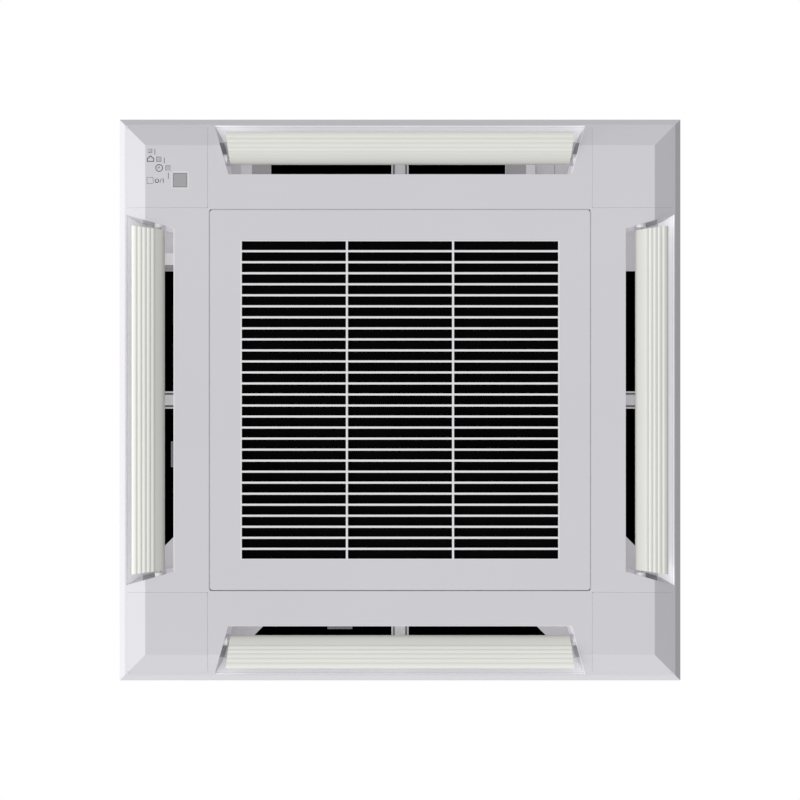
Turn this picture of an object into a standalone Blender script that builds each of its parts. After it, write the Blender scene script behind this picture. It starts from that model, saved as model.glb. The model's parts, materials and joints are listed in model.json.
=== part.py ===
"""Compact four-way ceiling cassette air conditioner with its square grille panel.

Metres, +Z up, front of the panel towards -Y. The world origin lies on the top face of the
front left hanger, where the suspension bolt's nut and washer sit. The unit itself is drawn
in its own frame, under the empty unit_centre: x = y = 0 on the fan's axis and z = 0 at the
underside of the ceiling.
"""

import math

import bmesh
import bpy
from mathutils import Matrix

MM = 0.001
GAP = 0.3 * MM

# Panel shell, seen below the ceiling
PANEL_WIDTH = 620 * MM
PANEL_DROP = 25 * MM
PANEL_LIP = 2 * MM
RIM_WIDTH = 6 * MM
RIM_HEIGHT = 11 * MM
BEVEL_WIDTH = 23 * MM
PANEL_WALL = 2.5 * MM
SKIRT_TOP = 4 * MM

# Intake grille, its slots and its hinge
GRILLE_FROM_EDGE = 100.3 * MM
GRILLE_GAP = 1.2 * MM
GRILLE_WALL = 2.5 * MM
GRILLE_UPSTAND = 5.5 * MM
SLAT_DEPTH = 7 * MM
SLOT_COLUMNS = 3
SLOT_PITCH = 12.16 * MM
SLAT_WIDTH = 2.3 * MM
PLAIN_SIDE = 35.2 * MM
PLAIN_END = 34 * MM
FIELD_BORDER = 2.5 * MM
HINGE_FROM_EDGE = 20.5 * MM
HINGE_ABOVE_FACE = 4.5 * MM
HINGE_PIN_RADIUS = 2 * MM
HINGE_PIN_LENGTH = 6 * MM
HINGE_BOSS_WALL = 1.65 * MM
PIN_PLAY = 0.35 * MM

# Air filter on the back of the grille
FILTER_OVERLAP = 1.5 * MM
FILTER_THICKNESS = 3 * MM
FILTER_BAR = 4 * MM
FILTER_NET = 1 * MM
FILTER_CELLS = 3

# Corner covers over the hangers
COVER_FROM_EDGE = 9 * MM
COVER_WIDTH = 88.7 * MM
COVER_WALL = 2 * MM
COVER_PLAY = 0.3 * MM
LEDGE_WIDTH = 7 * MM
LEDGE_HEIGHT = 2 * MM

# Air outlets and the liners behind them
OUTLET_FROM_EDGE = 7 * MM
OUTLET_WIDTH = 54 * MM
OUTLET_END_FROM_EDGE = 120.6 * MM
OUTLET_FLARE = 15.2 * MM
LINER_WALL = 2.5 * MM
DUCT_WIDTH = 31 * MM
DUCT_KNEE = 8 * MM
COLLAR_TOP = 24 * MM
SHELF_HEIGHT = 3 * MM
SHELF_THICKNESS = 3 * MM
BRIDGE_WIDTH = 19 * MM
BRIDGE_LOW = -2 * MM
BRIDGE_HIGH = 6.5 * MM
BRIDGE_BAR = 11.4 * MM
BRIDGE_GROOVE = 2.2 * MM
BRIDGE_GROOVE_DEPTH = 3.5 * MM
LUG_DEPTH = 4 * MM
LUG_LOW = -6 * MM
LUG_HIGH = 2 * MM

# Vanes, drawn closed about their own axis
VANE_FROM_WALL = 16.5 * MM
VANE_AXIS_HEIGHT = -19 * MM
VANE_REST_OPEN = math.radians(27)
VANE_END_GAP = 6.5 * MM
VANE_END_SLOPE = 0.145
VANE_WALL = 2.4 * MM
VANE_NOSE = 6 * MM
VANE_SAG = 6 * MM
VANE_FLAT = 3 * MM
VANE_REACH = 31.5 * MM
VANE_RISE = 8.5 * MM
VANE_RIBS = 5
VANE_RIB_START = 8 * MM
VANE_RIB_HEIGHT = 1.0 * MM
VANE_RIB_STEPS = 5
VANE_PIN_RADIUS = 2 * MM
VANE_PIN_LENGTH = 7.5 * MM
VANE_CHEEK = 2 * MM
VANE_CHEEK_RADIUS = 4.6 * MM
BEARING_RADIUS = 5 * MM
BEARING_LENGTH = 3.5 * MM

# Receiver window, lamps and button on the front left cover, from its left and front edges
RECEIVER_FROM_EDGE = 67.5 * MM
RECEIVER_WIDTH = 14.7 * MM
RECEIVER_DEPTH = 4 * MM
LAMP_WIDTH = 4.8 * MM
LAMP_FROM_EDGES = (34 * MM, 34.8 * MM)
LAMP_STEP = (10.1 * MM, 9.6 * MM)
LAMP_COUNT = 3
BUTTON_FROM_EDGES = (34.4 * MM, 67.8 * MM)
BUTTON_WIDTH = 6.4 * MM

# Steel casing above the ceiling
CASING_FROM_EDGE = 25 * MM
CASING_CHAMFER = 80 * MM
CASING_SHEET = 1.2 * MM
CASING_LOW = 10 * MM
CASING_HEIGHT = 245 * MM
CASING_RAISED = 3 * MM
CASING_BORDER = 45 * MM

# Foam drain pan with the four ducts
PAN_HEIGHT = 60 * MM
PAN_DUCT_SHORTER = 39.4 * MM
PAN_HOLE_PLAY = 3 * MM

# Bell mouth and turbo fan
BELL_FLANGE_WIDTH = 11 * MM
BELL_FLARE = 15 * MM
BELL_IN_FAN = 23 * MM
BELL_WALL = 2 * MM
BELL_CURVE_HEIGHT = 30 * MM
BELL_HEIGHT = 60 * MM
FAN_CLEARANCE = 5 * MM
FAN_FROM_COIL = 45 * MM
FAN_SHROUD_RISE = 14 * MM
FAN_WIDTH = 95 * MM
FAN_WALL = 2.2 * MM
FAN_BLADES = 7
BLADE_FROM_HUB = 34 * MM
BLADE_BOW = 26 * MM
BLADE_THICKNESS = 5 * MM
BLADE_SWEEP = math.radians(42)
BLADE_EDGE = 0.12
HUB_RADIUS = 64 * MM
HUB_DEPTH = 34 * MM
MOTOR_RADIUS = 52 * MM
SHAFT_RADIUS = 5 * MM

# Heat exchanger round the fan
COIL_FROM_CASING = 49 * MM
COIL_DEPTH = 26 * MM
COIL_CORNER = 60 * MM
COIL_BREAK = 70 * MM

# Control box at the front of the intake
CONTROL_LENGTH = 300 * MM
CONTROL_WIDTH = 36 * MM
CONTROL_HEIGHT = 33 * MM
CONTROL_FROM_SKIRT = 3 * MM
CONTROL_LID = 1.5 * MM

# Hangers on the chamfered corners
BOLT_OUT = 42 * MM
HANGER_HEIGHT = 140 * MM
HANGER_SHEET = 3 * MM
HANGER_WIDTH = 60 * MM
HANGER_LEG = 45 * MM
HANGER_END = 15 * MM
HANGER_SLOT = 12 * MM
HANGER_REST = 16 * MM

# Pipe connections on the right side
PIPE_PLATE_FROM_END = 100 * MM
PIPE_PLATE_UP = 125 * MM
PIPE_PLATE_WIDTH = 92 * MM
PIPE_PLATE_HEIGHT = 74 * MM
PIPE_PLATE_SHEET = 1.5 * MM
PIPE_ABOVE_EDGE = 40 * MM
GAS_PIPE_IN = 23 * MM
GAS_PIPE_RADIUS = 6.35 * MM
LIQUID_PIPE_IN = 67 * MM
LIQUID_PIPE_RADIUS = 3.18 * MM
UNION_COLLAR_RATIO = 1.8
UNION_NUT_RATIO = 2.1
PIPE_REACH = 9 * MM
NUT_LENGTH = 13 * MM
DRAIN_FROM_PLATE = 50 * MM
DRAIN_HEIGHT = 172 * MM
DRAIN_RADIUS = 16 * MM
DRAIN_BORE = 13 * MM
DRAIN_FLANGE = 24 * MM
DRAIN_FLANGE_SHEET = 3 * MM
DRAIN_REACH = 24 * MM

# Facets of round forms
ROUND_SIDES = 48
TUBE_SIDES = 32
PIN_SIDES = 24
CURVE_STEPS = 6

PANEL_HALF = PANEL_WIDTH / 2
FACE = -PANEL_DROP
BEVEL_LOW_RADIUS = PANEL_HALF - RIM_WIDTH - BEVEL_WIDTH
RIM_LOW_RADIUS = PANEL_HALF - RIM_WIDTH
RIM_LOW = -PANEL_LIP - RIM_HEIGHT
GRILLE_HALF = PANEL_HALF - GRILLE_FROM_EDGE
SKIRT_RADIUS = GRILLE_HALF + GRILLE_GAP
SLOT_FIELD_LENGTH = 2 * (GRILLE_HALF - PLAIN_SIDE)
SLOT_ROWS = int((2 * (GRILLE_HALF - PLAIN_END) + SLAT_WIDTH) / SLOT_PITCH)
FILTER_WIDTH = SLOT_FIELD_LENGTH + 2 * FILTER_OVERLAP
COVER_OUTER = PANEL_HALF - COVER_FROM_EDGE
COVER_INNER = COVER_OUTER - COVER_WIDTH
OUTLET_OUTER = PANEL_HALF - OUTLET_FROM_EDGE
OUTLET_INNER = OUTLET_OUTER - OUTLET_WIDTH
OUTLET_HALF_INNER = PANEL_HALF - OUTLET_END_FROM_EDGE
OUTLET_SLOPE = OUTLET_FLARE / OUTLET_WIDTH
DUCT_OUTER = OUTLET_INNER + DUCT_WIDTH
VANE_AXIS_RADIUS = OUTLET_INNER + VANE_FROM_WALL
VANE_HALF_LENGTH = OUTLET_HALF_INNER + VANE_FROM_WALL * OUTLET_SLOPE - VANE_END_GAP
RECEIVER_CENTRE = RECEIVER_FROM_EDGE - PANEL_HALF
CASING_WIDTH = PANEL_WIDTH - 2 * CASING_FROM_EDGE
CASING_TOP = CASING_LOW + CASING_HEIGHT
BORDER_TOP = CASING_TOP - CASING_RAISED
ROOF = BORDER_TOP - CASING_SHEET - GAP
PAN_LOW = COLLAR_TOP + GAP
PAN_TOP = PAN_LOW + PAN_HEIGHT
PAN_DUCT_HALF = OUTLET_HALF_INNER - PAN_DUCT_SHORTER
COIL_OUTER = CASING_WIDTH / 2 - COIL_FROM_CASING
COIL_INNER = COIL_OUTER - COIL_DEPTH
FAN_RADIUS = COIL_INNER - FAN_FROM_COIL
BELL_THROAT = FAN_RADIUS - BELL_IN_FAN
BELL_ENTRY = BELL_THROAT + BELL_FLARE
BLADE_INNER = HUB_RADIUS + BLADE_FROM_HUB
CHAMFER_RADIUS = (CASING_WIDTH - CASING_CHAMFER) / math.sqrt(2)
BOLT_RADIUS = (CASING_WIDTH - CASING_CHAMFER + BOLT_OUT) / math.sqrt(2)
PIPE_PLATE_Y = CASING_WIDTH / 2 - CASING_CHAMFER - PIPE_PLATE_FROM_END
HINGE_Y = GRILLE_HALF - HINGE_FROM_EDGE
HINGE_Z = FACE + HINGE_ABOVE_FACE

# Turn of each side's own frame: its +X points outwards and its +Y along the side
SIDES = {"right": 0.0, "back": math.pi / 2, "left": math.pi, "front": 1.5 * math.pi}
# In the order of the turns from one to the next
CORNERS = ("back_right", "back_left", "front_left", "front_right")

# How far each end of an outlet is closed above; None leaves the pan's own 45 degree end
CLOSED_ENDS = {
    "right": (46.9 * MM, None),
    "back": (None, None),
    "left": (None, 46.9 * MM),
    "front": (46.9 * MM, 73 * MM),
}
LUGS = {"left": (-74 * MM, -46 * MM), "back": (53 * MM, 80 * MM)}


def clear_scene():
    for thing in list(bpy.data.objects):
        bpy.data.objects.remove(thing, do_unlink=True)


def make_collection(name):
    collection = bpy.data.collections.new(name)
    bpy.context.scene.collection.children.link(collection)
    return collection


def make_material(name, colour, roughness, metallic=0.0):
    material = bpy.data.materials.new(name)
    material.use_nodes = True
    shader = material.node_tree.nodes["Principled BSDF"]
    shader.inputs["Base Color"].default_value = (*colour, 1.0)
    shader.inputs["Roughness"].default_value = roughness
    shader.inputs["Metallic"].default_value = metallic
    material.diffuse_color = (*colour, 1.0)
    return material


clear_scene()
PART = make_collection("ceiling_cassette")
CUTTERS = make_collection("cutters")

UNIT = bpy.data.objects.new("unit_centre", None)
PART.objects.link(UNIT)
REST_OFFSET = (BOLT_RADIUS - HANGER_REST) / math.sqrt(2)
UNIT.location = (REST_OFFSET, REST_OFFSET, -HANGER_HEIGHT)

LILAC_WHITE = make_material("lilac_white_plastic", (0.60, 0.59, 0.62), 0.42)
WARM_WHITE = make_material("warm_white_plastic", (0.86, 0.86, 0.82), 0.38)
BLACK_PLASTIC = make_material("black_plastic", (0.012, 0.012, 0.013), 0.6)
GREY_WINDOW = make_material("grey_window", (0.36, 0.36, 0.37), 0.2)
LAMP_GREY = make_material("lamp_grey", (0.46, 0.46, 0.48), 0.3)
GALVANISED = make_material("galvanised_steel", (0.62, 0.63, 0.64), 0.38, 0.9)
DARK_FOAM = make_material("dark_foam", (0.025, 0.025, 0.027), 0.9)
FIN_ALUMINIUM = make_material("fin_aluminium", (0.72, 0.73, 0.75), 0.35, 0.9)
BRASS = make_material("brass", (0.78, 0.60, 0.30), 0.3, 0.9)
DARK_STEEL = make_material("dark_steel", (0.08, 0.08, 0.09), 0.45, 0.6)


def link(name, mesh, material=None, turn=0.0, location=(0, 0, 0)):
    """Put a mesh under the unit's empty: a sub-part if it has a material, else a cutter."""
    thing = bpy.data.objects.new(name, mesh)
    thing.parent = UNIT
    thing.location = location
    thing.rotation_euler = (0, 0, turn)
    if material:
        mesh.materials.append(material)
        PART.objects.link(thing)
    else:
        thing.hide_render = True
        thing.display_type = "WIRE"
        CUTTERS.objects.link(thing)
    return thing


def combine(target, tool, operation):
    modifier = target.modifiers.new(operation.lower() + "_" + tool.name, "BOOLEAN")
    modifier.operation = operation
    modifier.object = tool


def fuse(target, tool):
    combine(target, tool, "UNION")


def cut(target, tool):
    combine(target, tool, "DIFFERENCE")


def box_mesh(low, high):
    """Mesh of a box between two corners."""
    mesh = bpy.data.meshes.new("box")
    shape = bmesh.new()
    bmesh.ops.create_cube(shape, size=1.0)
    for vertex in shape.verts:
        vertex.co = [a + (b - a) * (c + 0.5) for a, b, c in zip(low, high, vertex.co)]
    shape.to_mesh(mesh)
    shape.free()
    return mesh


def cylinder_mesh(radius, low, high, axis="Z", centre=(0.0, 0.0), sides=PIN_SIDES):
    """Mesh of a cylinder from low to high along an axis; centre is its place across it."""
    mesh = bpy.data.meshes.new("cylinder")
    shape = bmesh.new()
    bmesh.ops.create_cone(
        shape, cap_ends=True, segments=sides, radius1=radius, radius2=radius, depth=high - low
    )
    middle = (low + high) / 2
    if axis == "X":
        place = Matrix.Translation((middle, *centre)) @ Matrix.Rotation(math.pi / 2, 4, "Y")
    elif axis == "Y":
        place = Matrix.Translation((centre[0], middle, centre[1]))
        place = place @ Matrix.Rotation(math.pi / 2, 4, "X")
    else:
        place = Matrix.Translation((*centre, middle))
    bmesh.ops.transform(shape, matrix=place, verts=shape.verts)
    shape.to_mesh(mesh)
    shape.free()
    return mesh


def outline_mesh(outlines, depth):
    """Mesh of a flat outline, with any holes, given a thickness about its own plane."""
    curve = bpy.data.curves.new("outline", "CURVE")
    curve.dimensions = "2D"
    curve.fill_mode = "BOTH"
    curve.extrude = depth / 2
    for outline in outlines:
        spline = curve.splines.new("POLY")
        spline.points.add(len(outline) - 1)
        for point, (x, y) in zip(spline.points, outline):
            point.co = (x, y, 0, 1)
        spline.use_cyclic_u = True
    source = bpy.data.objects.new("outline", curve)
    bpy.context.scene.collection.objects.link(source)
    bpy.context.view_layer.update()
    evaluated = source.evaluated_get(bpy.context.evaluated_depsgraph_get())
    mesh = bpy.data.meshes.new_from_object(evaluated)
    bpy.data.objects.remove(source, do_unlink=True)
    shape = bmesh.new()
    shape.from_mesh(mesh)
    bmesh.ops.remove_doubles(shape, verts=shape.verts, dist=0.00001)
    bmesh.ops.recalc_face_normals(shape, faces=shape.faces)
    shape.to_mesh(mesh)
    shape.free()
    return mesh


def plate_mesh(outlines, low, high):
    """Mesh of a plan outline standing from low to high."""
    mesh = outline_mesh(outlines, high - low)
    mesh.transform(Matrix.Translation((0, 0, (low + high) / 2)))
    return mesh


def section_mesh(section, low_end, high_end):
    """Mesh of a section in (x, z) run along y, with its ends at low_end(x) and high_end(x)."""
    mesh = outline_mesh([section], 2.0)
    mesh.transform(Matrix.Rotation(math.pi / 2, 4, "X"))
    for vertex in mesh.vertices:
        end = high_end if vertex.co.y > 0 else low_end
        vertex.co.y = end(vertex.co.x)
    return mesh


def turned(name, profile, steps, material=None, closed=True, square=False):
    """A profile of (radius, z) turned about Z; a square one has its corners on the diagonals."""
    mesh = bpy.data.meshes.new(name)
    points = [(r, r if square else 0.0, z) for r, z in profile]
    edges = [(i, i + 1) for i in range(len(points) - 1)]
    if closed:
        edges.append((len(points) - 1, 0))
    mesh.from_pydata(points, edges, [])
    thing = link(name, mesh, material)
    screw = thing.modifiers.new("turn", "SCREW")
    screw.axis = "Z"
    screw.angle = 2 * math.pi
    screw.steps = steps
    screw.render_steps = steps
    screw.use_merge_vertices = True
    screw.merge_threshold = 0.00001
    screw.use_smooth_shade = False
    return thing


def offset_path(path, distance):
    """The path moved to its right by a distance, with mitred corners."""
    normals = []
    for (x0, y0), (x1, y1) in zip(path, path[1:]):
        length = math.hypot(x1 - x0, y1 - y0)
        normals.append(((y1 - y0) / length, (x0 - x1) / length))
    moved = []
    for index, (x, y) in enumerate(path):
        a = normals[max(index - 1, 0)]
        b = normals[min(index, len(normals) - 1)]
        scale = distance / (1 + a[0] * b[0] + a[1] * b[1])
        moved.append((x + (a[0] + b[0]) * scale, y + (a[1] + b[1]) * scale))
    return moved


def shell(path, thickness):
    """Closed section of a wall whose outer face is the path."""
    return path + offset_path(path, thickness)[::-1]


def arc(centre, radius, start, end, steps):
    """Points on an arc, its angles in degrees."""
    angles = [math.radians(start + (end - start) * i / steps) for i in range(steps + 1)]
    return [(centre[0] + radius * math.cos(a), centre[1] + radius * math.sin(a)) for a in angles]


def meeting(a, b, c, d):
    """Point where the line through a and b crosses the line through c and d."""
    along = (b[0] - a[0], b[1] - a[1])
    other = (d[0] - c[0], d[1] - c[1])
    spread = along[0] * other[1] - along[1] * other[0]
    share = ((c[0] - a[0]) * other[1] - (c[1] - a[1]) * other[0]) / spread
    return (a[0] + along[0] * share, a[1] + along[1] * share)


def quarter_turns(point, turns):
    """A plan point turned about the centre by a number of right angles."""
    x, y = point
    for _ in range(turns):
        x, y = -y, x
    return x, y


def octagon(inset):
    """Plan of the casing, moved inwards by the inset."""
    half = CASING_WIDTH / 2 - inset
    short = half - CASING_CHAMFER + inset * (2 - math.sqrt(2))
    corners = [(half, short), (short, half)]
    return [quarter_turns(corner, turns) for turns in range(4) for corner in corners]


def outlet_end(radius):
    """Half length of the outlet's opening at a distance from the centre."""
    return OUTLET_HALF_INNER + (radius - OUTLET_INNER) * OUTLET_SLOPE


def duct_end(radius):
    """Half length of the drain pan's duct, whose ends run at 45 degrees."""
    return PAN_DUCT_HALF + (radius - OUTLET_INNER)


def face_path():
    """The panel's visible surface, from its top edge inwards."""
    return [
        (PANEL_HALF, 0),
        (PANEL_HALF, -PANEL_LIP),
        (RIM_LOW_RADIUS, RIM_LOW),
        (BEVEL_LOW_RADIUS, FACE),
        (SKIRT_RADIUS, FACE),
    ]


def outlet_edge():
    """Height of the bevel where the outlet's outer wall starts."""
    share = (RIM_LOW_RADIUS - OUTLET_OUTER) / BEVEL_WIDTH
    return RIM_LOW + (FACE - RIM_LOW) * share


def outer_wall():
    """The outlet's outer wall, from the bevel up to the collar's top."""
    return [
        (OUTLET_OUTER, outlet_edge()),
        (DUCT_OUTER, DUCT_KNEE),
        (DUCT_OUTER, COLLAR_TOP),
    ]


def outer_wall_radius(z):
    """Inner face of the outlet's sloped outer wall at a height."""
    (r0, z0), (r1, z1) = outer_wall()[:2]
    return r0 + (r1 - r0) * (z - z0) / (z1 - z0)


def liner_section():
    """Filled section of one outlet's liner, which seats on the back of the panel's shell."""
    seat = offset_path(face_path(), PANEL_WALL + GAP)
    wall = offset_path(outer_wall(), LINER_WALL)
    inner = OUTLET_INNER - LINER_WALL
    return [
        (inner, seat[3][1]),
        seat[3],
        seat[2],
        meeting(seat[1], seat[2], wall[0], wall[1]),
        wall[1],
        wall[2],
        (inner, COLLAR_TOP),
    ]


def outlet_section():
    """Section of the air's way through one outlet."""
    below = FACE - PANEL_WALL
    above = COLLAR_TOP + LINER_WALL
    edge, knee, _ = outer_wall()
    return [(OUTLET_INNER, below), (OUTLET_OUTER, below), edge, knee,
            (DUCT_OUTER, above), (OUTLET_INNER, above)]


def cut_way(target, side):
    """Cut the air's way through one outlet."""
    way = section_mesh(outlet_section(), lambda r: -outlet_end(r), outlet_end)
    cut(target, link("way_" + side, way, turn=SIDES[side]))


def add_bridge(liner, side):
    """The bar across the middle of an outlet, with a groove along each edge."""
    bite = LINER_WALL / 2
    section = [
        (OUTLET_INNER - bite, BRIDGE_LOW),
        (outer_wall_radius(BRIDGE_LOW) + bite, BRIDGE_LOW),
        (outer_wall_radius(BRIDGE_HIGH) + bite, BRIDGE_HIGH),
        (OUTLET_INNER - bite, BRIDGE_HIGH),
    ]
    half = BRIDGE_WIDTH / 2
    bar = section_mesh(section, lambda r: -half, lambda r: half)
    fuse(liner, link("bridge_" + side, bar, turn=SIDES[side]))
    for sign in (-1, 1):
        near = sign * BRIDGE_BAR / 2
        far = near + sign * BRIDGE_GROOVE
        groove = box_mesh(
            (OUTLET_INNER, min(near, far), BRIDGE_LOW - bite),
            (DUCT_OUTER, max(near, far), BRIDGE_LOW + BRIDGE_GROOVE_DEPTH),
        )
        cut(liner, link("bridge_groove_" + side, groove, turn=SIDES[side]))


def add_shelves(liner, side):
    """Webs that close the liner beyond the ends of the duct."""
    bite = LINER_WALL / 2
    top = SHELF_HEIGHT + SHELF_THICKNESS
    section = [
        (OUTLET_INNER - bite, SHELF_HEIGHT),
        (outer_wall_radius(SHELF_HEIGHT) + bite, SHELF_HEIGHT),
        (outer_wall_radius(top) + bite, top),
        (OUTLET_INNER - bite, top),
    ]
    for sign, closed in zip((-1, 1), CLOSED_ENDS[side]):
        def near(r, sign=sign, closed=closed):
            return sign * (duct_end(r) if closed is None else OUTLET_HALF_INNER - closed)

        def far(r, sign=sign):
            return sign * (outlet_end(r) + bite)

        ends = (near, far) if sign > 0 else (far, near)
        shelf = section_mesh(section, *ends)
        fuse(liner, link("shelf_" + side, shelf, turn=SIDES[side]))


def add_lug(liner, side):
    low, high = LUGS[side]
    lug = box_mesh(
        (OUTLET_INNER - LINER_WALL / 2, low, LUG_LOW), (OUTLET_INNER + LUG_DEPTH, high, LUG_HIGH)
    )
    fuse(liner, link("lug_" + side, lug, turn=SIDES[side]))


def add_bearings(liner, side):
    """Bosses in the liner's end walls that carry the vane's pins."""
    centre = (VANE_AXIS_RADIUS, VANE_AXIS_HEIGHT)
    wall = outlet_end(VANE_AXIS_RADIUS)
    for sign in (-1, 1):
        ends = sorted((sign * (wall - BEARING_LENGTH), sign * (wall + LINER_WALL)))
        boss = cylinder_mesh(BEARING_RADIUS, *ends, "Y", centre)
        fuse(liner, link("bearing_" + side, boss, turn=SIDES[side]))
        ends = sorted((sign * (wall - 2 * BEARING_LENGTH), sign * (wall + 2 * LINER_WALL)))
        hole = cylinder_mesh(VANE_PIN_RADIUS + PIN_PLAY, *ends, "Y", centre)
        cut(liner, link("bearing_hole_" + side, hole, turn=SIDES[side]))


def cut_bearing_seats(panel, side):
    """Hollows in the back of the panel's face that the liner's bosses lie in."""
    centre = (VANE_AXIS_RADIUS, VANE_AXIS_HEIGHT)
    wall = outlet_end(VANE_AXIS_RADIUS)
    for sign in (-1, 1):
        ends = sorted((sign * (wall - BEARING_LENGTH), sign * (wall + LINER_WALL + GAP)))
        seat = cylinder_mesh(BEARING_RADIUS + GAP, *ends, "Y", centre)
        cut(panel, link("bearing_seat_" + side, seat, turn=SIDES[side]))


def make_liners():
    """The moulded liner of each outlet, between the panel's face and the drain pan."""
    end_wall = LINER_WALL * math.hypot(1, OUTLET_SLOPE)
    for side, turn in SIDES.items():
        body = section_mesh(
            liner_section(), lambda r: -outlet_end(r) - end_wall, lambda r: outlet_end(r) + end_wall
        )
        liner = link("outlet_liner_" + side, body, LILAC_WHITE, turn=turn)
        cut_way(liner, side)
        add_bridge(liner, side)
        add_shelves(liner, side)
        add_bearings(liner, side)
        if side in LUGS:
            add_lug(liner, side)


def turned_box(ends, corner, low, high):
    """Box between two plan points, turned about the centre to one corner."""
    points = [quarter_turns(point, CORNERS.index(corner)) for point in ends]
    xs = sorted(point[0] for point in points)
    ys = sorted(point[1] for point in points)
    return box_mesh((xs[0], ys[0], low), (xs[1], ys[1], high))


def corner_box(corner, inner, outer, low, high):
    """A square post over one corner of the panel."""
    return turned_box(((inner, inner), (outer, outer)), corner, low, high)


def add_cover_seat(panel, corner):
    """The pocket for a corner cover and the two ledges that it rests against."""
    pocket = corner_box(
        corner, COVER_INNER - COVER_PLAY, COVER_OUTER + COVER_PLAY, FACE - PANEL_WALL, RIM_LOW / 2
    )
    cut(panel, link("pocket_" + corner, pocket))
    low = FACE + COVER_WALL + GAP
    near = (COVER_INNER - LEDGE_WIDTH / 2, COVER_INNER + 2 * LEDGE_WIDTH)
    far = (COVER_INNER + LEDGE_WIDTH, BEVEL_LOW_RADIUS - LEDGE_WIDTH)
    for ends in ((near, far), (near[::-1], far[::-1])):
        ledge = turned_box(ends, corner, low, low + LEDGE_HEIGHT)
        fuse(panel, link("ledge_" + corner, ledge))


def add_grille_bearings(panel):
    """Bosses behind the panel's face for the pins of the intake grille."""
    radius = HINGE_PIN_RADIUS + PIN_PLAY
    for turn, y in ((0.0, HINGE_Y), (math.pi, -HINGE_Y)):
        centre = (y, HINGE_Z)
        boss = cylinder_mesh(
            radius + HINGE_BOSS_WALL, SKIRT_RADIUS + PANEL_WALL / 2,
            SKIRT_RADIUS + HINGE_PIN_LENGTH, "X", centre,
        )
        fuse(panel, link("grille_bearing", boss, turn=turn))
        hole = cylinder_mesh(
            radius, SKIRT_RADIUS - PANEL_WALL, SKIRT_RADIUS + 2 * HINGE_PIN_LENGTH, "X", centre
        )
        cut(panel, link("grille_bearing_hole", hole, turn=turn))


def make_panel():
    skirt = (SKIRT_RADIUS, SKIRT_TOP)
    section = shell(face_path() + [skirt], PANEL_WALL)
    panel = turned("panel_frame", section, 4, LILAC_WHITE, square=True)
    for side in SIDES:
        cut_way(panel, side)
        cut_bearing_seats(panel, side)
    for corner in CORNERS:
        add_cover_seat(panel, corner)
    add_grille_bearings(panel)


def lamp_places():
    x, y = [inwards - PANEL_HALF for inwards in LAMP_FROM_EDGES]
    return [(x + LAMP_STEP[0] * i, y + LAMP_STEP[1] * i) for i in range(LAMP_COUNT)]


def button_place():
    return tuple(inwards - PANEL_HALF for inwards in BUTTON_FROM_EDGES)


def square_post(centre, width, low, high):
    x, y = centre
    half = width / 2
    return box_mesh((x - half, y - half, low), (x + half, y + half, high))


def make_covers():
    section = shell(face_path(), COVER_WALL)
    for corner in CORNERS:
        cover = turned("corner_cover_" + corner, section, 4, LILAC_WHITE, square=True)
        post = corner_box(corner, COVER_INNER, COVER_OUTER, FACE - PANEL_WALL, 0)
        combine(cover, link("cover_post_" + corner, post), "INTERSECT")
        if corner == "front_left":
            add_cover_openings(cover)


def add_cover_openings(cover):
    low = FACE - COVER_WALL
    high = FACE + 2 * COVER_WALL
    window = (RECEIVER_CENTRE, RECEIVER_CENTRE)
    hole = square_post(window, RECEIVER_WIDTH + 2 * GAP, low, high)
    cut(cover, link("receiver_hole", hole))
    hole = square_post(button_place(), BUTTON_WIDTH + 2 * GAP, low, high)
    cut(cover, link("button_hole", hole))
    for centre in lamp_places():
        hole = square_post(centre, LAMP_WIDTH + 2 * GAP, low, high)
        cut(cover, link("lamp_hole", hole))


def make_receiver():
    """Receiver window, with a flange behind the cover."""
    back = FACE + COVER_WALL + GAP
    centre = (RECEIVER_CENTRE, RECEIVER_CENTRE)
    window = link("receiver_window", square_post(centre, RECEIVER_WIDTH, FACE, back + COVER_WALL),
                  GREY_WINDOW)
    flange = square_post(centre, RECEIVER_WIDTH + RECEIVER_DEPTH, back, back + COVER_WALL)
    fuse(window, link("receiver_flange", flange))


def make_lamps():
    """Three indicator lamps on one light guide behind the cover."""
    back = FACE + COVER_WALL + GAP
    places = lamp_places()
    reach = LAMP_WIDTH / 2
    guide = link("indicator_lamps", box_mesh(
        (places[0][0] - reach, places[0][1] - reach, back),
        (places[-1][0] + reach, places[-1][1] + reach, back + COVER_WALL),
    ), LAMP_GREY)
    for centre in places:
        lamp = square_post(centre, LAMP_WIDTH, FACE, back + COVER_WALL / 2)
        fuse(guide, link("lamp", lamp))


def make_button():
    back = FACE + COVER_WALL + GAP
    centre = button_place()
    post = square_post(centre, BUTTON_WIDTH, FACE, back + COVER_WALL)
    button = link("manual_button", post, LILAC_WHITE)
    flange = square_post(centre, BUTTON_WIDTH + COVER_WALL, back, back + COVER_WALL)
    fuse(button, link("button_flange", flange))


def vane_face(u):
    """Height of the closed vane's underside, its ribs included, outwards from the axis."""
    share = max(u - VANE_FLAT, 0) / (VANE_REACH - VANE_FLAT)
    z = -VANE_SAG + VANE_RISE * share ** 2
    if u > VANE_RIB_START:
        wave = (u - VANE_RIB_START) / (VANE_REACH - VANE_RIB_START) * VANE_RIBS
        z -= VANE_RIB_HEIGHT * abs(math.sin(math.pi * wave))
    return z


def vane_back(u):
    share = max(u - VANE_FLAT, 0) / (VANE_REACH - VANE_FLAT)
    return -VANE_SAG + VANE_RISE * share ** 2 + VANE_WALL


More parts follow.
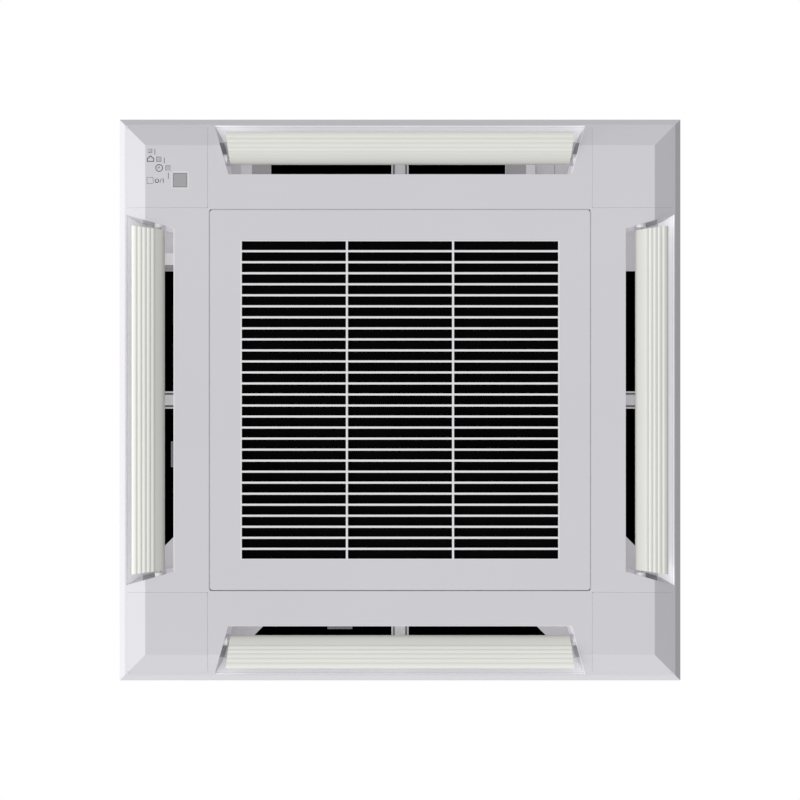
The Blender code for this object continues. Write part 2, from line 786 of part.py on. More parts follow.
def vane_section():
    """Section of the closed vane: a nose that curls up, a smooth part and five ribs."""
    nose = arc((0, 0), VANE_NOSE, 180, 270, CURVE_STEPS)
    steps = VANE_RIBS * VANE_RIB_STEPS
    ribbed = [VANE_RIB_START + (VANE_REACH - VANE_RIB_START) * i / steps for i in range(steps + 1)]
    face = nose + [(u, vane_face(u)) for u in ribbed]
    back_nose = arc((0, 0), VANE_NOSE - VANE_WALL, 270, 180, CURVE_STEPS)
    smooth = [VANE_REACH * (1 - i / CURVE_STEPS) for i in range(CURVE_STEPS)]
    return face + [(u, vane_back(u)) for u in smooth] + back_nose


def vane_end(u):
    """Half length of a vane at a distance outwards from its axis."""
    return VANE_HALF_LENGTH + u * VANE_END_SLOPE


def make_vanes():
    """Each vane's own origin lies on its pins, and it rests partly open."""
    for side, turn in SIDES.items():
        mesh = section_mesh(vane_section(), lambda u: -vane_end(u), vane_end)
        vane = link("vane_" + side, mesh, WARM_WHITE)
        x, y = [VANE_AXIS_RADIUS * f(turn) for f in (math.cos, math.sin)]
        place = (x, y, VANE_AXIS_HEIGHT)
        add_vane_ends(vane, place, turn)
        vane.location = place
        vane.rotation_euler = (0, VANE_REST_OPEN, turn)


def add_vane_ends(vane, place, turn):
    """A cheek and a pin at each end of a vane."""
    tip = VANE_HALF_LENGTH + VANE_PIN_LENGTH
    for sign in (-1, 1):
        ends = sorted((sign * (VANE_HALF_LENGTH - VANE_CHEEK), sign * VANE_HALF_LENGTH))
        cheek = cylinder_mesh(VANE_CHEEK_RADIUS, *ends, "Y")
        ends = sorted((sign * (VANE_HALF_LENGTH - VANE_CHEEK / 2), sign * tip))
        pin = cylinder_mesh(VANE_PIN_RADIUS, *ends, "Y")
        for mesh in (cheek, pin):
            tool = link("vane_end", mesh, location=place)
            tool.rotation_euler = (0, VANE_REST_OPEN, turn)
            fuse(vane, tool)


def make_grille():
    """The hinged intake grille: a flat plate with an upstand and a field of slots."""
    low = (-GRILLE_HALF, -GRILLE_HALF, FACE)
    plate_top = FACE + GRILLE_WALL
    rim_top = plate_top + GRILLE_UPSTAND
    grille = link("intake_grille", box_mesh(low, (GRILLE_HALF, GRILLE_HALF, rim_top)), LILAC_WHITE)
    inner = GRILLE_HALF - GRILLE_WALL
    tray = box_mesh((-inner, -inner, plate_top), (inner, inner, rim_top + GRILLE_WALL))
    cut(grille, link("grille_tray", tray))
    slot = SLOT_PITCH - SLAT_WIDTH
    field_half = (SLOT_PITCH * SLOT_ROWS - SLAT_WIDTH) / 2
    x_half = SLOT_FIELD_LENGTH / 2 + FIELD_BORDER
    y_half = field_half + FIELD_BORDER
    field = box_mesh((-x_half, -y_half, FACE + GRILLE_WALL / 2), (x_half, y_half, FACE + SLAT_DEPTH))
    fuse(grille, link("slat_field", field))
    column = (SLOT_FIELD_LENGTH + SLAT_WIDTH) / SLOT_COLUMNS
    first = box_mesh(
        (-SLOT_FIELD_LENGTH / 2, -field_half, FACE - GRILLE_WALL),
        (-SLOT_FIELD_LENGTH / 2 + column - SLAT_WIDTH, -field_half + slot, FACE + 2 * SLAT_DEPTH),
    )
    slots = link("slots", first)
    repeat(slots, SLOT_COLUMNS, (column, 0, 0))
    repeat(slots, SLOT_ROWS, (0, SLOT_PITCH, 0))
    cut(grille, slots)
    for sign in (-1, 1):
        ends = sorted((sign * (GRILLE_HALF - GRILLE_WALL / 2), sign * (SKIRT_RADIUS + HINGE_PIN_LENGTH)))
        pin = cylinder_mesh(HINGE_PIN_RADIUS, *ends, "X", (HINGE_Y, HINGE_Z))
        fuse(grille, link("grille_pin", pin))


def repeat(thing, count, step):
    array = thing.modifiers.new("repeat", "ARRAY")
    array.count = count
    array.use_relative_offset = False
    array.use_constant_offset = True
    array.constant_offset_displace = step


def make_filter():
    """Washable filter: a frame with crossing bars and a thin net between them."""
    low = FACE + SLAT_DEPTH + GAP
    half = FILTER_WIDTH / 2
    frame = link("air_filter", box_mesh((-half, -half, low), (half, half, low + FILTER_THICKNESS)),
                 BLACK_PLASTIC)
    cell = (FILTER_WIDTH - FILTER_BAR) / FILTER_CELLS
    start = -half + FILTER_BAR
    window = link("filter_cells", box_mesh(
        (start, start, low + FILTER_NET),
        (start + cell - FILTER_BAR, start + cell - FILTER_BAR, low + 2 * FILTER_THICKNESS),
    ))
    repeat(window, FILTER_CELLS, (cell, 0, 0))
    repeat(window, FILTER_CELLS, (0, cell, 0))
    cut(frame, window)


def make_casing():
    """Folded wall and a top sheet whose middle is pressed upwards."""
    wall = plate_mesh([octagon(0), octagon(CASING_SHEET)], CASING_LOW, ROOF)
    link("casing_wall", wall, GALVANISED)
    border = plate_mesh([octagon(0)], BORDER_TOP - CASING_SHEET, BORDER_TOP)
    top = link("casing_top", border, GALVANISED)
    raised = plate_mesh([octagon(CASING_BORDER)], BORDER_TOP - CASING_SHEET / 2, CASING_TOP)
    fuse(top, link("top_raised", raised))
    hollow = plate_mesh(
        [octagon(CASING_BORDER + CASING_SHEET)], ROOF, CASING_TOP - CASING_SHEET
    )
    cut(top, link("top_hollow", hollow))


def make_drain_pan():
    """Foam pan with a round way to the fan and four ducts to the outlets."""
    pan = link("drain_pan", plate_mesh([octagon(CASING_SHEET + GAP)], PAN_LOW, PAN_TOP), DARK_FOAM)
    below = PAN_LOW - PAN_HEIGHT
    above = PAN_TOP + PAN_HEIGHT
    hole = cylinder_mesh(BELL_ENTRY + PAN_HOLE_PLAY, below, above, sides=ROUND_SIDES)
    cut(pan, link("pan_hole", hole))
    section = [(OUTLET_INNER, below), (DUCT_OUTER, below), (DUCT_OUTER, above), (OUTLET_INNER, above)]
    for side, turn in SIDES.items():
        duct = section_mesh(section, lambda r: -duct_end(r), duct_end)
        cut(pan, link("pan_duct_" + side, duct, turn=turn))


def make_bell_mouth():
    """Turned inlet ring: a flange under the pan, a quarter ellipse and a straight throat."""
    low = PAN_LOW - GAP - BELL_WALL
    path = [(BELL_ENTRY + BELL_FLANGE_WIDTH, low)]
    for i in range(CURVE_STEPS + 1):
        angle = math.pi / 2 * i / CURVE_STEPS
        radius = BELL_ENTRY - BELL_FLARE * math.sin(angle)
        path.append((radius, low + BELL_CURVE_HEIGHT * (1 - math.cos(angle))))
    path.append((BELL_THROAT, low + BELL_HEIGHT))
    turned("bell_mouth", shell(path, BELL_WALL), ROUND_SIDES, LILAC_WHITE)


def make_fan():
    """Backward curved turbo fan: inlet shroud, blades and a dished back plate in one moulding."""
    bell_top = PAN_LOW - GAP - BELL_WALL + BELL_HEIGHT
    eye = BELL_THROAT + BELL_WALL + FAN_CLEARANCE
    low = bell_top - FAN_CLEARANCE
    rise = low + FAN_SHROUD_RISE
    top = low + FAN_WIDTH
    shroud_path = [(eye, low), (eye, low + FAN_SHROUD_RISE / 2), (FAN_RADIUS, rise)]
    back_path = [
        (FAN_RADIUS, top),
        (HUB_RADIUS + FAN_WALL, top),
        (HUB_RADIUS, top - HUB_DEPTH),
        (SHAFT_RADIUS + PIN_PLAY, top - HUB_DEPTH),
    ]
    back = turned("turbo_fan", shell(back_path, FAN_WALL), ROUND_SIDES, BLACK_PLASTIC)
    shroud = turned("fan_shroud", shell(shroud_path, FAN_WALL)[::-1], ROUND_SIDES)
    for blade in range(FAN_BLADES):
        turn = 2 * math.pi * blade / FAN_BLADES
        mesh = plate_mesh([blade_outline()], rise - FAN_WALL, top + FAN_WALL / 2)
        fuse(back, link("blade", mesh, turn=turn))
    fuse(back, shroud)


def blade_outline():
    """Plan of one blade: a bowed strip swept back from its inner to its outer edge."""
    outer = FAN_RADIUS - FAN_WALL
    start = (BLADE_INNER, 0.0)
    end = (outer * math.cos(BLADE_SWEEP), outer * math.sin(BLADE_SWEEP))
    length = math.hypot(end[0] - start[0], end[1] - start[1])
    along = ((end[0] - start[0]) / length, (end[1] - start[1]) / length)
    across = (along[1], -along[0])
    sides = []
    for thickness in (BLADE_THICKNESS / 2, -BLADE_THICKNESS / 2):
        line = []
        for i in range(CURVE_STEPS + 1):
            share = i / CURVE_STEPS
            bow = BLADE_BOW * 4 * share * (1 - share)
            taper = math.sin(math.pi * (BLADE_EDGE + (1 - 2 * BLADE_EDGE) * share))
            off = bow + thickness * taper
            x = start[0] + along[0] * length * share + across[0] * off
            y = start[1] + along[1] * length * share + across[1] * off
            line.append((x, y))
        sides.append(line)
    return sides[0] + sides[1][::-1]


def make_motor():
    """Fan motor hung under the casing's top, its shaft through the fan's hub."""
    bell_top = PAN_LOW - GAP - BELL_WALL + BELL_HEIGHT
    fan_top = bell_top - FAN_CLEARANCE + FAN_WIDTH
    roof = CASING_TOP - CASING_SHEET - GAP
    low = fan_top - HUB_DEPTH + FAN_WALL + FAN_CLEARANCE
    motor = link("fan_motor", cylinder_mesh(MOTOR_RADIUS, low, roof, sides=TUBE_SIDES), DARK_STEEL)
    shaft = cylinder_mesh(SHAFT_RADIUS, low - HUB_DEPTH / 2, low + FAN_CLEARANCE)
    fuse(motor, link("motor_shaft", shaft))


def coil_outline(half, corner):
    """Plan of one face of the coil, open at the back right corner."""
    gap = COIL_BREAK
    points = [(half - gap, half)]
    for turns, start in ((1, 0), (2, 90), (3, 180)):
        centre = quarter_turns((half - corner, half - corner), turns)
        points += arc(centre, corner, start + 90, start + 180, CURVE_STEPS)
    points.append((half, half - gap))
    return points


def make_coil():
    """Finned heat exchanger bent round the fan, standing on the drain pan."""
    outer = coil_outline(COIL_OUTER, COIL_CORNER)
    inner = coil_outline(COIL_INNER, COIL_CORNER - COIL_DEPTH)
    inner[0] = (outer[0][0], COIL_INNER)
    inner[-1] = (COIL_INNER, outer[-1][1])
    mesh = plate_mesh([outer + inner[::-1]], PAN_TOP + GAP, ROOF)
    link("heat_exchanger", mesh, FIN_ALUMINIUM)


def make_control_box():
    """Electrical box under the drain pan, with its lid below it."""
    front = -(SKIRT_RADIUS - CONTROL_FROM_SKIRT)
    top = PAN_LOW - GAP
    half = CONTROL_LENGTH / 2
    low = top - CONTROL_HEIGHT
    body = box_mesh((-half, front, low), (half, front + CONTROL_WIDTH, top))
    link("control_box", body, GALVANISED)
    lid = box_mesh(
        (-half, front, low - GAP - CONTROL_LID), (half, front + CONTROL_WIDTH, low - GAP)
    )
    link("control_box_lid", lid, GALVANISED)


def make_hangers():
    """Bent steel hangers on the casing's chamfers, each with an open slot for its bolt."""
    inner = CHAMFER_RADIUS + GAP
    section = [
        (inner, HANGER_HEIGHT),
        (inner, HANGER_HEIGHT - HANGER_LEG),
        (inner + HANGER_SHEET, HANGER_HEIGHT - HANGER_LEG),
        (inner + HANGER_SHEET, HANGER_HEIGHT - HANGER_SHEET),
        (BOLT_RADIUS + HANGER_END, HANGER_HEIGHT - HANGER_SHEET),
        (BOLT_RADIUS + HANGER_END, HANGER_HEIGHT),
    ]
    half = HANGER_WIDTH / 2
    for turns, corner in enumerate(CORNERS):
        turn = math.pi / 4 + turns * math.pi / 2
        mesh = section_mesh(section, lambda r: -half, lambda r: half)
        hanger = link("hanger_" + corner, mesh, GALVANISED, turn=turn)
        slot = box_mesh(
            (BOLT_RADIUS, -HANGER_SLOT / 2, HANGER_HEIGHT - 2 * HANGER_SHEET),
            (BOLT_RADIUS + 2 * HANGER_END, HANGER_SLOT / 2, HANGER_HEIGHT + HANGER_SHEET),
        )
        cut(hanger, link("hanger_slot", slot, turn=turn))
        end = cylinder_mesh(
            HANGER_SLOT / 2, HANGER_HEIGHT - 2 * HANGER_SHEET, HANGER_HEIGHT + HANGER_SHEET,
            "Z", (BOLT_RADIUS, 0.0),
        )
        cut(hanger, link("hanger_slot_end", end, turn=turn))


def make_pipes():
    """Plate and blanked flare unions for the refrigerant, and the drain's open spigot."""
    wall = CASING_WIDTH / 2 + GAP
    plate_front = wall + PIPE_PLATE_SHEET
    plate = box_mesh(
        (wall, PIPE_PLATE_Y, PIPE_PLATE_UP),
        (plate_front, PIPE_PLATE_Y + PIPE_PLATE_WIDTH, PIPE_PLATE_UP + PIPE_PLATE_HEIGHT),
    )
    link("pipe_plate", plate, GALVANISED)
    for name, inwards, radius in (
        ("gas_union", GAS_PIPE_IN, GAS_PIPE_RADIUS),
        ("liquid_union", LIQUID_PIPE_IN, LIQUID_PIPE_RADIUS),
    ):
        centre = (PIPE_PLATE_Y + inwards, PIPE_PLATE_UP + PIPE_ABOVE_EDGE)
        make_union(name, plate_front + GAP, centre, radius)
    make_drain_port(wall)


def make_union(name, start, centre, radius):
    """Collar, copper stub, hexagon nut and the cap that blanks it."""
    collar = radius * UNION_COLLAR_RATIO
    body = cylinder_mesh(collar, start, start + PIPE_REACH / 4, "X", centre)
    union = link(name, body, BRASS)
    stub = cylinder_mesh(radius, start, start + PIPE_REACH + NUT_LENGTH / 2, "X", centre)
    fuse(union, link("pipe_stub", stub))
    low = start + PIPE_REACH
    nut = cylinder_mesh(radius * UNION_NUT_RATIO, low, low + NUT_LENGTH, "X", centre, sides=6)
    fuse(union, link("pipe_nut", nut))


def make_drain_port(wall):
    """Flanged spigot whose bore is open."""
    centre = (PIPE_PLATE_Y - DRAIN_FROM_PLATE, DRAIN_HEIGHT)
    seat = wall + DRAIN_FLANGE_SHEET
    tube = cylinder_mesh(DRAIN_RADIUS, wall, wall + DRAIN_REACH, "X", centre, TUBE_SIDES)
    port = link("drain_port", tube, LILAC_WHITE)
    flange = cylinder_mesh(DRAIN_FLANGE, wall, seat, "X", centre, TUBE_SIDES)
    fuse(port, link("drain_flange", flange))
    bore = cylinder_mesh(DRAIN_BORE, seat, wall + 2 * DRAIN_REACH, "X", centre, TUBE_SIDES)
    cut(port, link("drain_bore", bore))


make_panel()
make_liners()
make_covers()
make_receiver()
make_lamps()
make_button()
make_vanes()
make_grille()
make_filter()
make_casing()
make_drain_pan()
make_bell_mouth()
make_fan()
make_motor()
make_coil()
make_control_box()
make_hangers()
make_pipes()
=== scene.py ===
import json
import math

import bmesh
import bpy
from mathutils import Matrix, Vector

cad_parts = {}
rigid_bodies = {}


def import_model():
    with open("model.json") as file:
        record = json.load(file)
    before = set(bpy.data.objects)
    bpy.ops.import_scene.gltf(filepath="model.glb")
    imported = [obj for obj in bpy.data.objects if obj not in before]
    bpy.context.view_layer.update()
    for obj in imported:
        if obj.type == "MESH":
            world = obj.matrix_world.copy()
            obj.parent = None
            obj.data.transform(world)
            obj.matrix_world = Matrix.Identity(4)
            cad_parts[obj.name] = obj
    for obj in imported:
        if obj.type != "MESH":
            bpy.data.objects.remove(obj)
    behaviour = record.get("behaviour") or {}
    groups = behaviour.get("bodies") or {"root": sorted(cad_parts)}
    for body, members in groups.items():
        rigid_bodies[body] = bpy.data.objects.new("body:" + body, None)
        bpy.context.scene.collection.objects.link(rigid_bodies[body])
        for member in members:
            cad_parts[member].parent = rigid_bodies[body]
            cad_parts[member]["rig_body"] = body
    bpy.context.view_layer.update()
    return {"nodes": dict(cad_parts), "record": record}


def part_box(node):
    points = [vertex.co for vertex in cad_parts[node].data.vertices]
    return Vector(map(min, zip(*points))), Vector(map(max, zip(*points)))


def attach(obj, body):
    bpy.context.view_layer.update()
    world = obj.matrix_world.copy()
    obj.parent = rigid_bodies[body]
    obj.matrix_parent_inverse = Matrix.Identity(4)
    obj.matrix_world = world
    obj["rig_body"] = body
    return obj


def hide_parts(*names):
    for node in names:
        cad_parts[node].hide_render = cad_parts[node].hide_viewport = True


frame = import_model()

MM = 0.001

# The photo's frame: the panel's width in it and the whole picture's width
PHOTO_WIDTH = 800
PANEL_IN_PHOTO = 560.6
CAMERA_DISTANCE = 9.0
SENSOR = 36.0
PANEL_DROP = 25 * MM

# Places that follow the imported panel
panel_low, panel_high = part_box("panel_frame")
CENTRE = (panel_low + panel_high) / 2
PANEL_WIDTH = panel_high.x - panel_low.x
FACE = panel_low.z


def place(x, y, z):
    """World place of a point given from the panel's centre and up from its face."""
    return Vector((CENTRE.x + x, CENTRE.y + y, FACE + z))


def node_tree(name):
    """A new material, its node tree and its shader."""
    material = bpy.data.materials.new(name)
    material.use_nodes = True
    tree = material.node_tree
    return material, tree, tree.nodes["Principled BSDF"]


def add(tree, kind, **inputs):
    """A node with its input values set; an input's name has spaces as underscores."""
    node = tree.nodes.new(kind)
    for name, value in inputs.items():
        node.inputs[name.replace("_", " ")].default_value = value
    return node


def ramp(tree, source, stops):
    """Colour ramp from (position, colour) stops."""
    node = tree.nodes.new("ShaderNodeValToRGB")
    elements = node.color_ramp.elements
    while len(elements) < len(stops):
        elements.new(0.5)
    for element, (position, colour) in zip(elements, stops):
        element.position = position
        element.color = (*colour, 1.0)
    tree.links.new(source, node.inputs["Fac"])
    return node.outputs["Color"]


def spread(colour, amount):
    """Two tones of a colour, a little darker and a little lighter."""
    dark = tuple(c * (1 - amount) for c in colour)
    light = tuple(min(c * (1 + amount), 1.0) for c in colour)
    return dark, light


def bump(tree, shader, height, strength, distance):
    """Fine relief on a shader from a height output."""
    node = add(tree, "ShaderNodeBump", Strength=strength, Distance=distance)
    tree.links.new(height, node.inputs["Height"])
    tree.links.new(node.outputs["Normal"], shader.inputs["Normal"])


# Emission of the narrow recesses, which stands in for the studio's fill light
WALL_FILL = {"right": 0.57, "back": 0.35, "left": 0.28, "front": 0.47}
LINER_FILL = {"right": 0.19, "back": 0.11, "left": 0.08, "front": 0.13}
LILAC = (0.600, 0.592, 0.626)
WARM = (0.72, 0.72, 0.685)
# Paler tone of the outlets' sloped outer walls, painted light, and the tone of the rest of the
# liners
LINER = (0.85, 0.845, 0.86)
LINER_DEEP = (0.64, 0.63, 0.65)


def moulded_plastic(name, colour, roughness, grain=900.0, depth=0.03, tone=0.012):
    """Satin moulded plastic: spark eroded grain, slow tone drift and uneven gloss."""
    material, tree, shader = node_tree(name)
    where = tree.nodes.new("ShaderNodeTexCoord").outputs["Object"]
    drift = add(tree, "ShaderNodeTexNoise", Scale=6.0, Detail=3.0)
    fine = add(tree, "ShaderNodeTexNoise", Scale=grain, Detail=2.0, Roughness=0.6)
    for noise in (drift, fine):
        tree.links.new(where, noise.inputs["Vector"])
    dark, light = spread(colour, tone)
    tone_colour = ramp(tree, drift.outputs["Fac"], [(0.3, dark), (0.7, light)])
    tree.links.new(tone_colour, shader.inputs["Base Color"])
    low, high = (roughness - 0.05,) * 3, (roughness + 0.05,) * 3
    gloss = ramp(tree, fine.outputs["Fac"], [(0.35, low), (0.65, high)])
    tree.links.new(gloss, shader.inputs["Roughness"])
    bump(tree, shader, fine.outputs["Fac"], depth, 0.0002)
    return material


def zinc_sheet(name, colour):
    """Galvanised sheet with its spangle and fine rolling marks."""
    material, tree, shader = node_tree(name)
    where = tree.nodes.new("ShaderNodeTexCoord").outputs["Object"]
    spangle = add(tree, "ShaderNodeTexVoronoi", Scale=110.0, Randomness=1.0)
    marks = add(tree, "ShaderNodeTexNoise", Scale=35.0, Detail=6.0, Roughness=0.7)
    for texture in (spangle, marks):
        tree.links.new(where, texture.inputs["Vector"])
    dark, light = spread(colour, 0.10)
    mixed = tree.nodes.new("ShaderNodeMix")
    mixed.data_type = "RGBA"
    mixed.inputs["Factor"].default_value = 0.45
    cells = ramp(tree, spangle.outputs["Color"], [(0.2, dark), (0.8, light)])
    streaks = ramp(tree, marks.outputs["Fac"], [(0.35, dark), (0.65, light)])
    tree.links.new(cells, mixed.inputs[6])
    tree.links.new(streaks, mixed.inputs[7])
    tree.links.new(mixed.outputs[2], shader.inputs["Base Color"])
    gloss = ramp(tree, spangle.outputs["Color"], [(0.2, (0.34,) * 3), (0.8, (0.5,) * 3)])
    tree.links.new(gloss, shader.inputs["Roughness"])
    shader.inputs["Metallic"].default_value = 0.85
    bump(tree, shader, marks.outputs["Fac"], 0.05, 0.0004)
    return material


def dead_black(name):
    """Black net and its frame, with hardly any gloss and a fine weave; its near-zero black also
    paints the shade of the dark inside behind the slots.
    """
    material = moulded_plastic(name, (0.002, 0.002, 0.0022), 0.9, grain=1500.0, tone=0.3)
    material.node_tree.nodes["Principled BSDF"].inputs["Specular IOR Level"].default_value = 0.02
    return material


def bead_foam(name, colour):
    """Expanded bead foam: close packed beads a few millimetres across."""
    material, tree, shader = node_tree(name)
    where = tree.nodes.new("ShaderNodeTexCoord").outputs["Object"]
    beads = add(tree, "ShaderNodeTexVoronoi", Scale=280.0, Randomness=0.9)
    tree.links.new(where, beads.inputs["Vector"])
    dark, light = spread(colour, 0.25)
    tone = ramp(tree, beads.outputs["Distance"], [(0.1, light), (0.6, dark)])
    tree.links.new(tone, shader.inputs["Base Color"])
    shader.inputs["Roughness"].default_value = 0.9
    shader.inputs["Specular IOR Level"].default_value = 0.05
    bump(tree, shader, beads.outputs["Distance"], 0.35, 0.0008)
    return material


def metal(name, colour, roughness, grain=60.0):
    """Plain metal with uneven tone and gloss."""
    material, tree, shader = node_tree(name)
    where = tree.nodes.new("ShaderNodeTexCoord").outputs["Object"]
    noise = add(tree, "ShaderNodeTexNoise", Scale=grain, Detail=5.0, Roughness=0.65)
    tree.links.new(where, noise.inputs["Vector"])
    dark, light = spread(colour, 0.08)
    tree.links.new(ramp(tree, noise.outputs["Fac"], [(0.3, dark), (0.7, light)]),
                   shader.inputs["Base Color"])
    low, high = (roughness - 0.06,) * 3, (roughness + 0.08,) * 3
    tree.links.new(ramp(tree, noise.outputs["Fac"], [(0.3, low), (0.7, high)]),
                   shader.inputs["Roughness"])
    shader.inputs["Metallic"].default_value = 0.95
    bump(tree, shader, noise.outputs["Fac"], 0.04, 0.0003)
    return material


def filled_plastic(name, colour, fill):
    """Moulded plastic with a painted glow, painted light that stands in for the studio's light in
    a narrow recess.
    """
    material = moulded_plastic(name, colour, 0.5)
    shader = material.node_tree.nodes["Principled BSDF"]
    shader.inputs["Emission Color"].default_value = (*LILAC, 1.0)
    shader.inputs["Emission Strength"].default_value = fill
    return material


MATERIALS = {
    # Pale strips on edges: painted highlights
    "edge_light": moulded_plastic("edge_light", (0.80, 0.80, 0.81), 0.4),
    # Glowing pale and dark plates and mottled grey plates: painted light and painted shade in the
    # outlets' ends and recesses
    "end_light": filled_plastic("end_light", (0.72, 0.71, 0.73), 0.16),
    "end_dark": filled_plastic("end_dark", (0.36, 0.35, 0.36), 0.09),
    "mottled_shade": moulded_plastic("mottled_grey", (0.30, 0.29, 0.30), 0.5, grain=160.0, tone=0.45),
    # Dark grey plates in the outlets' recesses: painted shade
    "lug_shade_grey": moulded_plastic("lug_shade_grey", (0.19, 0.19, 0.195), 0.5, grain=60.0),
    "slat": moulded_plastic("slat_pale", (0.72, 0.72, 0.735), 0.45),
    "sign": moulded_plastic("sign_ink", (0.09, 0.09, 0.10), 0.5),
    "lilac_white": moulded_plastic("panel_lilac_white", LILAC, 0.45),
    "warm_white": moulded_plastic("vane_warm_white", WARM, 0.40, depth=0.02),
    "filter_black": dead_black("filter_black"),
    "grey_window": moulded_plastic("window_grey", (0.34, 0.34, 0.35), 0.22, depth=0.005),
    "lamp_grey": moulded_plastic("lamp_grey", (0.45, 0.45, 0.47), 0.3, depth=0.01),
    "galvanised": zinc_sheet("zinc_sheet", (0.60, 0.61, 0.62)),
    # Black foam; its near-zero tone is partly painted shade for the unit's dark inside
    "dark_foam": bead_foam("dark_foam", (0.004, 0.004, 0.0045)),
    "fan_black": moulded_plastic("fan_black", (0.02, 0.02, 0.022), 0.5, tone=0.1),
    "motor_black": moulded_plastic("motor_enamel", (0.05, 0.05, 0.055), 0.4, tone=0.08),
    "fin_aluminium": metal("fin_aluminium", (0.70, 0.71, 0.73), 0.4),
    "brass": metal("brass", (0.72, 0.53, 0.25), 0.28),
    "spigot_white": moulded_plastic("spigot_white", (0.78, 0.78, 0.76), 0.5),
}

# Angles in degrees: edges that get a round, edges shaded sharp, and facets taken as one face
SHARP = 25
SMOOTH = 35
FLAT_WITHIN = 0.5
# The area above which a face stays flat, the edges' round, and distances taken as none
FLAT_AREA = 60 * MM * MM
EDGE_ROUND = 0.35 * MM
MERGE = 0.00001
CUT_SLACK = 0.000001
# How far a face has to look outwards or up to be painted; below zero is inwards or down
WALL_OUT = -0.3
WALL_UP = -0.2
SHELL_OUT = -0.6
LINING_IN = 0.3
LINING_UP = -0.5
# Nodes whose edges stay as packed
PLAIN = ("turbo_fan", "bell_mouth", "air_filter", "casing_wall")

SLOT_OF = {row["node"]: row["material_slot"] for row in frame["record"]["subparts"]}
OUTWARDS = {"right": (1, 0), "back": (0, 1), "left": (-1, 0), "front": (0, -1)}

# Glowing wall and liner materials for each side: painted light, stronger on the shaded sides
for side_name in OUTWARDS:
    wall, liner = "wall_" + side_name, "liner_" + side_name
    MATERIALS[wall] = filled_plastic(wall, LINER, WALL_FILL[side_name])
    MATERIALS[liner] = filled_plastic(liner, LINER_DEEP, LINER_FILL[side_name])

# The grille, its field of slots and its corners
CORNER_RADIUS = 3 * MM
CORNER_CUTS = 6
grille_low, grille_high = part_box("intake_grille")
GRILLE_HALF = (grille_high.y - grille_low.y) / 2
GRILLE_GAP = 1.2 * MM
FIELD_HALF = 176 * MM
FIELD_SLACK = 0.01 * MM

# The panel's bevel, the outlets' sloped walls and the shell's edge round them
BEVEL_FROM = 281 * MM
BEVEL_SLOPE = 12 / 23
SHELL_EDGE = (302 * MM, 304 * MM)

# Stretch of a vane's nose, outwards from the centre, and the painted shade and light on each side,
# from dark to light
NOSE_SPAN = (257 * MM, 275 * MM)
NOSE_SHADES = {
    "left": [(0.0, (0.68,) * 3), (0.4, (0.90,) * 3), (1.0, (1.06,) * 3)],
    "right": [(0.0, (0.60,) * 3), (0.35, (0.76,) * 3), (1.0, (0.94,) * 3)],
    "front": [(0.0, (0.56,) * 3), (0.5, (0.84,) * 3), (1.0, (1.01,) * 3)],
    "back": [(0.0, (0.74,) * 3), (0.4, (0.90,) * 3), (1.0, (1.04,) * 3)],
}


def trim_corners(shape, half, radius):
    """Round the four upright corners of a square body by cutting off thin slices."""
    for sx in (-1, 1):
        for sy in (-1, 1):
            middle = place(sx * (half - radius), sy * (half - radius), 0)
            for i in range(CORNER_CUTS):
                angle = math.radians(90 * (i + 0.5) / CORNER_CUTS)
                normal = Vector((sx * math.cos(angle), sy * math.sin(angle), 0))
                whole = shape.verts[:] + shape.edges[:] + shape.faces[:]
                bmesh.ops.bisect_plane(
                    shape, geom=whole, dist=CUT_SLACK, clear_outer=True,
                    plane_co=middle + normal * radius, plane_no=normal,
                )
                open_edges = [edge for edge in shape.edges if edge.is_boundary]
                bmesh.ops.holes_fill(shape, edges=open_edges)


def ease_edges(shape, width):
    """Small round on every sharp edge."""
    sharp = [
        edge for edge in shape.edges
        if edge.is_manifold and edge.calc_face_angle(0) > math.radians(SHARP)
    ]
    bmesh.ops.bevel(
        shape, geom=sharp, offset=width, segments=2, profile=0.5,
        affect="EDGES", clamp_overlap=True,
    )


def finish_mesh(piece):
    """Smooth shading that leaves the large flat faces flat."""
    mesh = piece.data
    mesh.shade_smooth()
    mesh.set_sharp_from_angle(angle=math.radians(SMOOTH))
    for face in mesh.polygons:
        if face.area > FLAT_AREA:
            face.use_smooth = False
    weighted = piece.modifiers.new("flat_faces", "WEIGHTED_NORMAL")
    weighted.keep_sharp = True
    weighted.weight = 100


def dress(node, material, edge):
    """Stand for a CAD node with the same mesh, its edges eased and its curves smooth."""
    source = frame["nodes"][node]
    mesh = source.data.copy()
    mesh.materials.clear()
    mesh.materials.append(material)
    if "custom_normal" in mesh.attributes:
        mesh.attributes.remove(mesh.attributes["custom_normal"])
    shape = bmesh.new()
    shape.from_mesh(mesh)
    bmesh.ops.remove_doubles(shape, verts=shape.verts, dist=MERGE)
    bmesh.ops.dissolve_limit(
        shape, angle_limit=math.radians(FLAT_WITHIN), verts=shape.verts, edges=shape.edges
    )
    if node == "intake_grille":
        trim_corners(shape, GRILLE_HALF, CORNER_RADIUS)
    if edge:
        ease_edges(shape, edge)
    if node == "intake_grille":
        cut_field(shape)
    shape.to_mesh(mesh)
    shape.free()
    piece = bpy.data.objects.new(node + "_finished", mesh)
    bpy.context.scene.collection.objects.link(piece)
    finish_mesh(piece)
    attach(piece, source["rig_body"])
    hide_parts(node)
    return piece


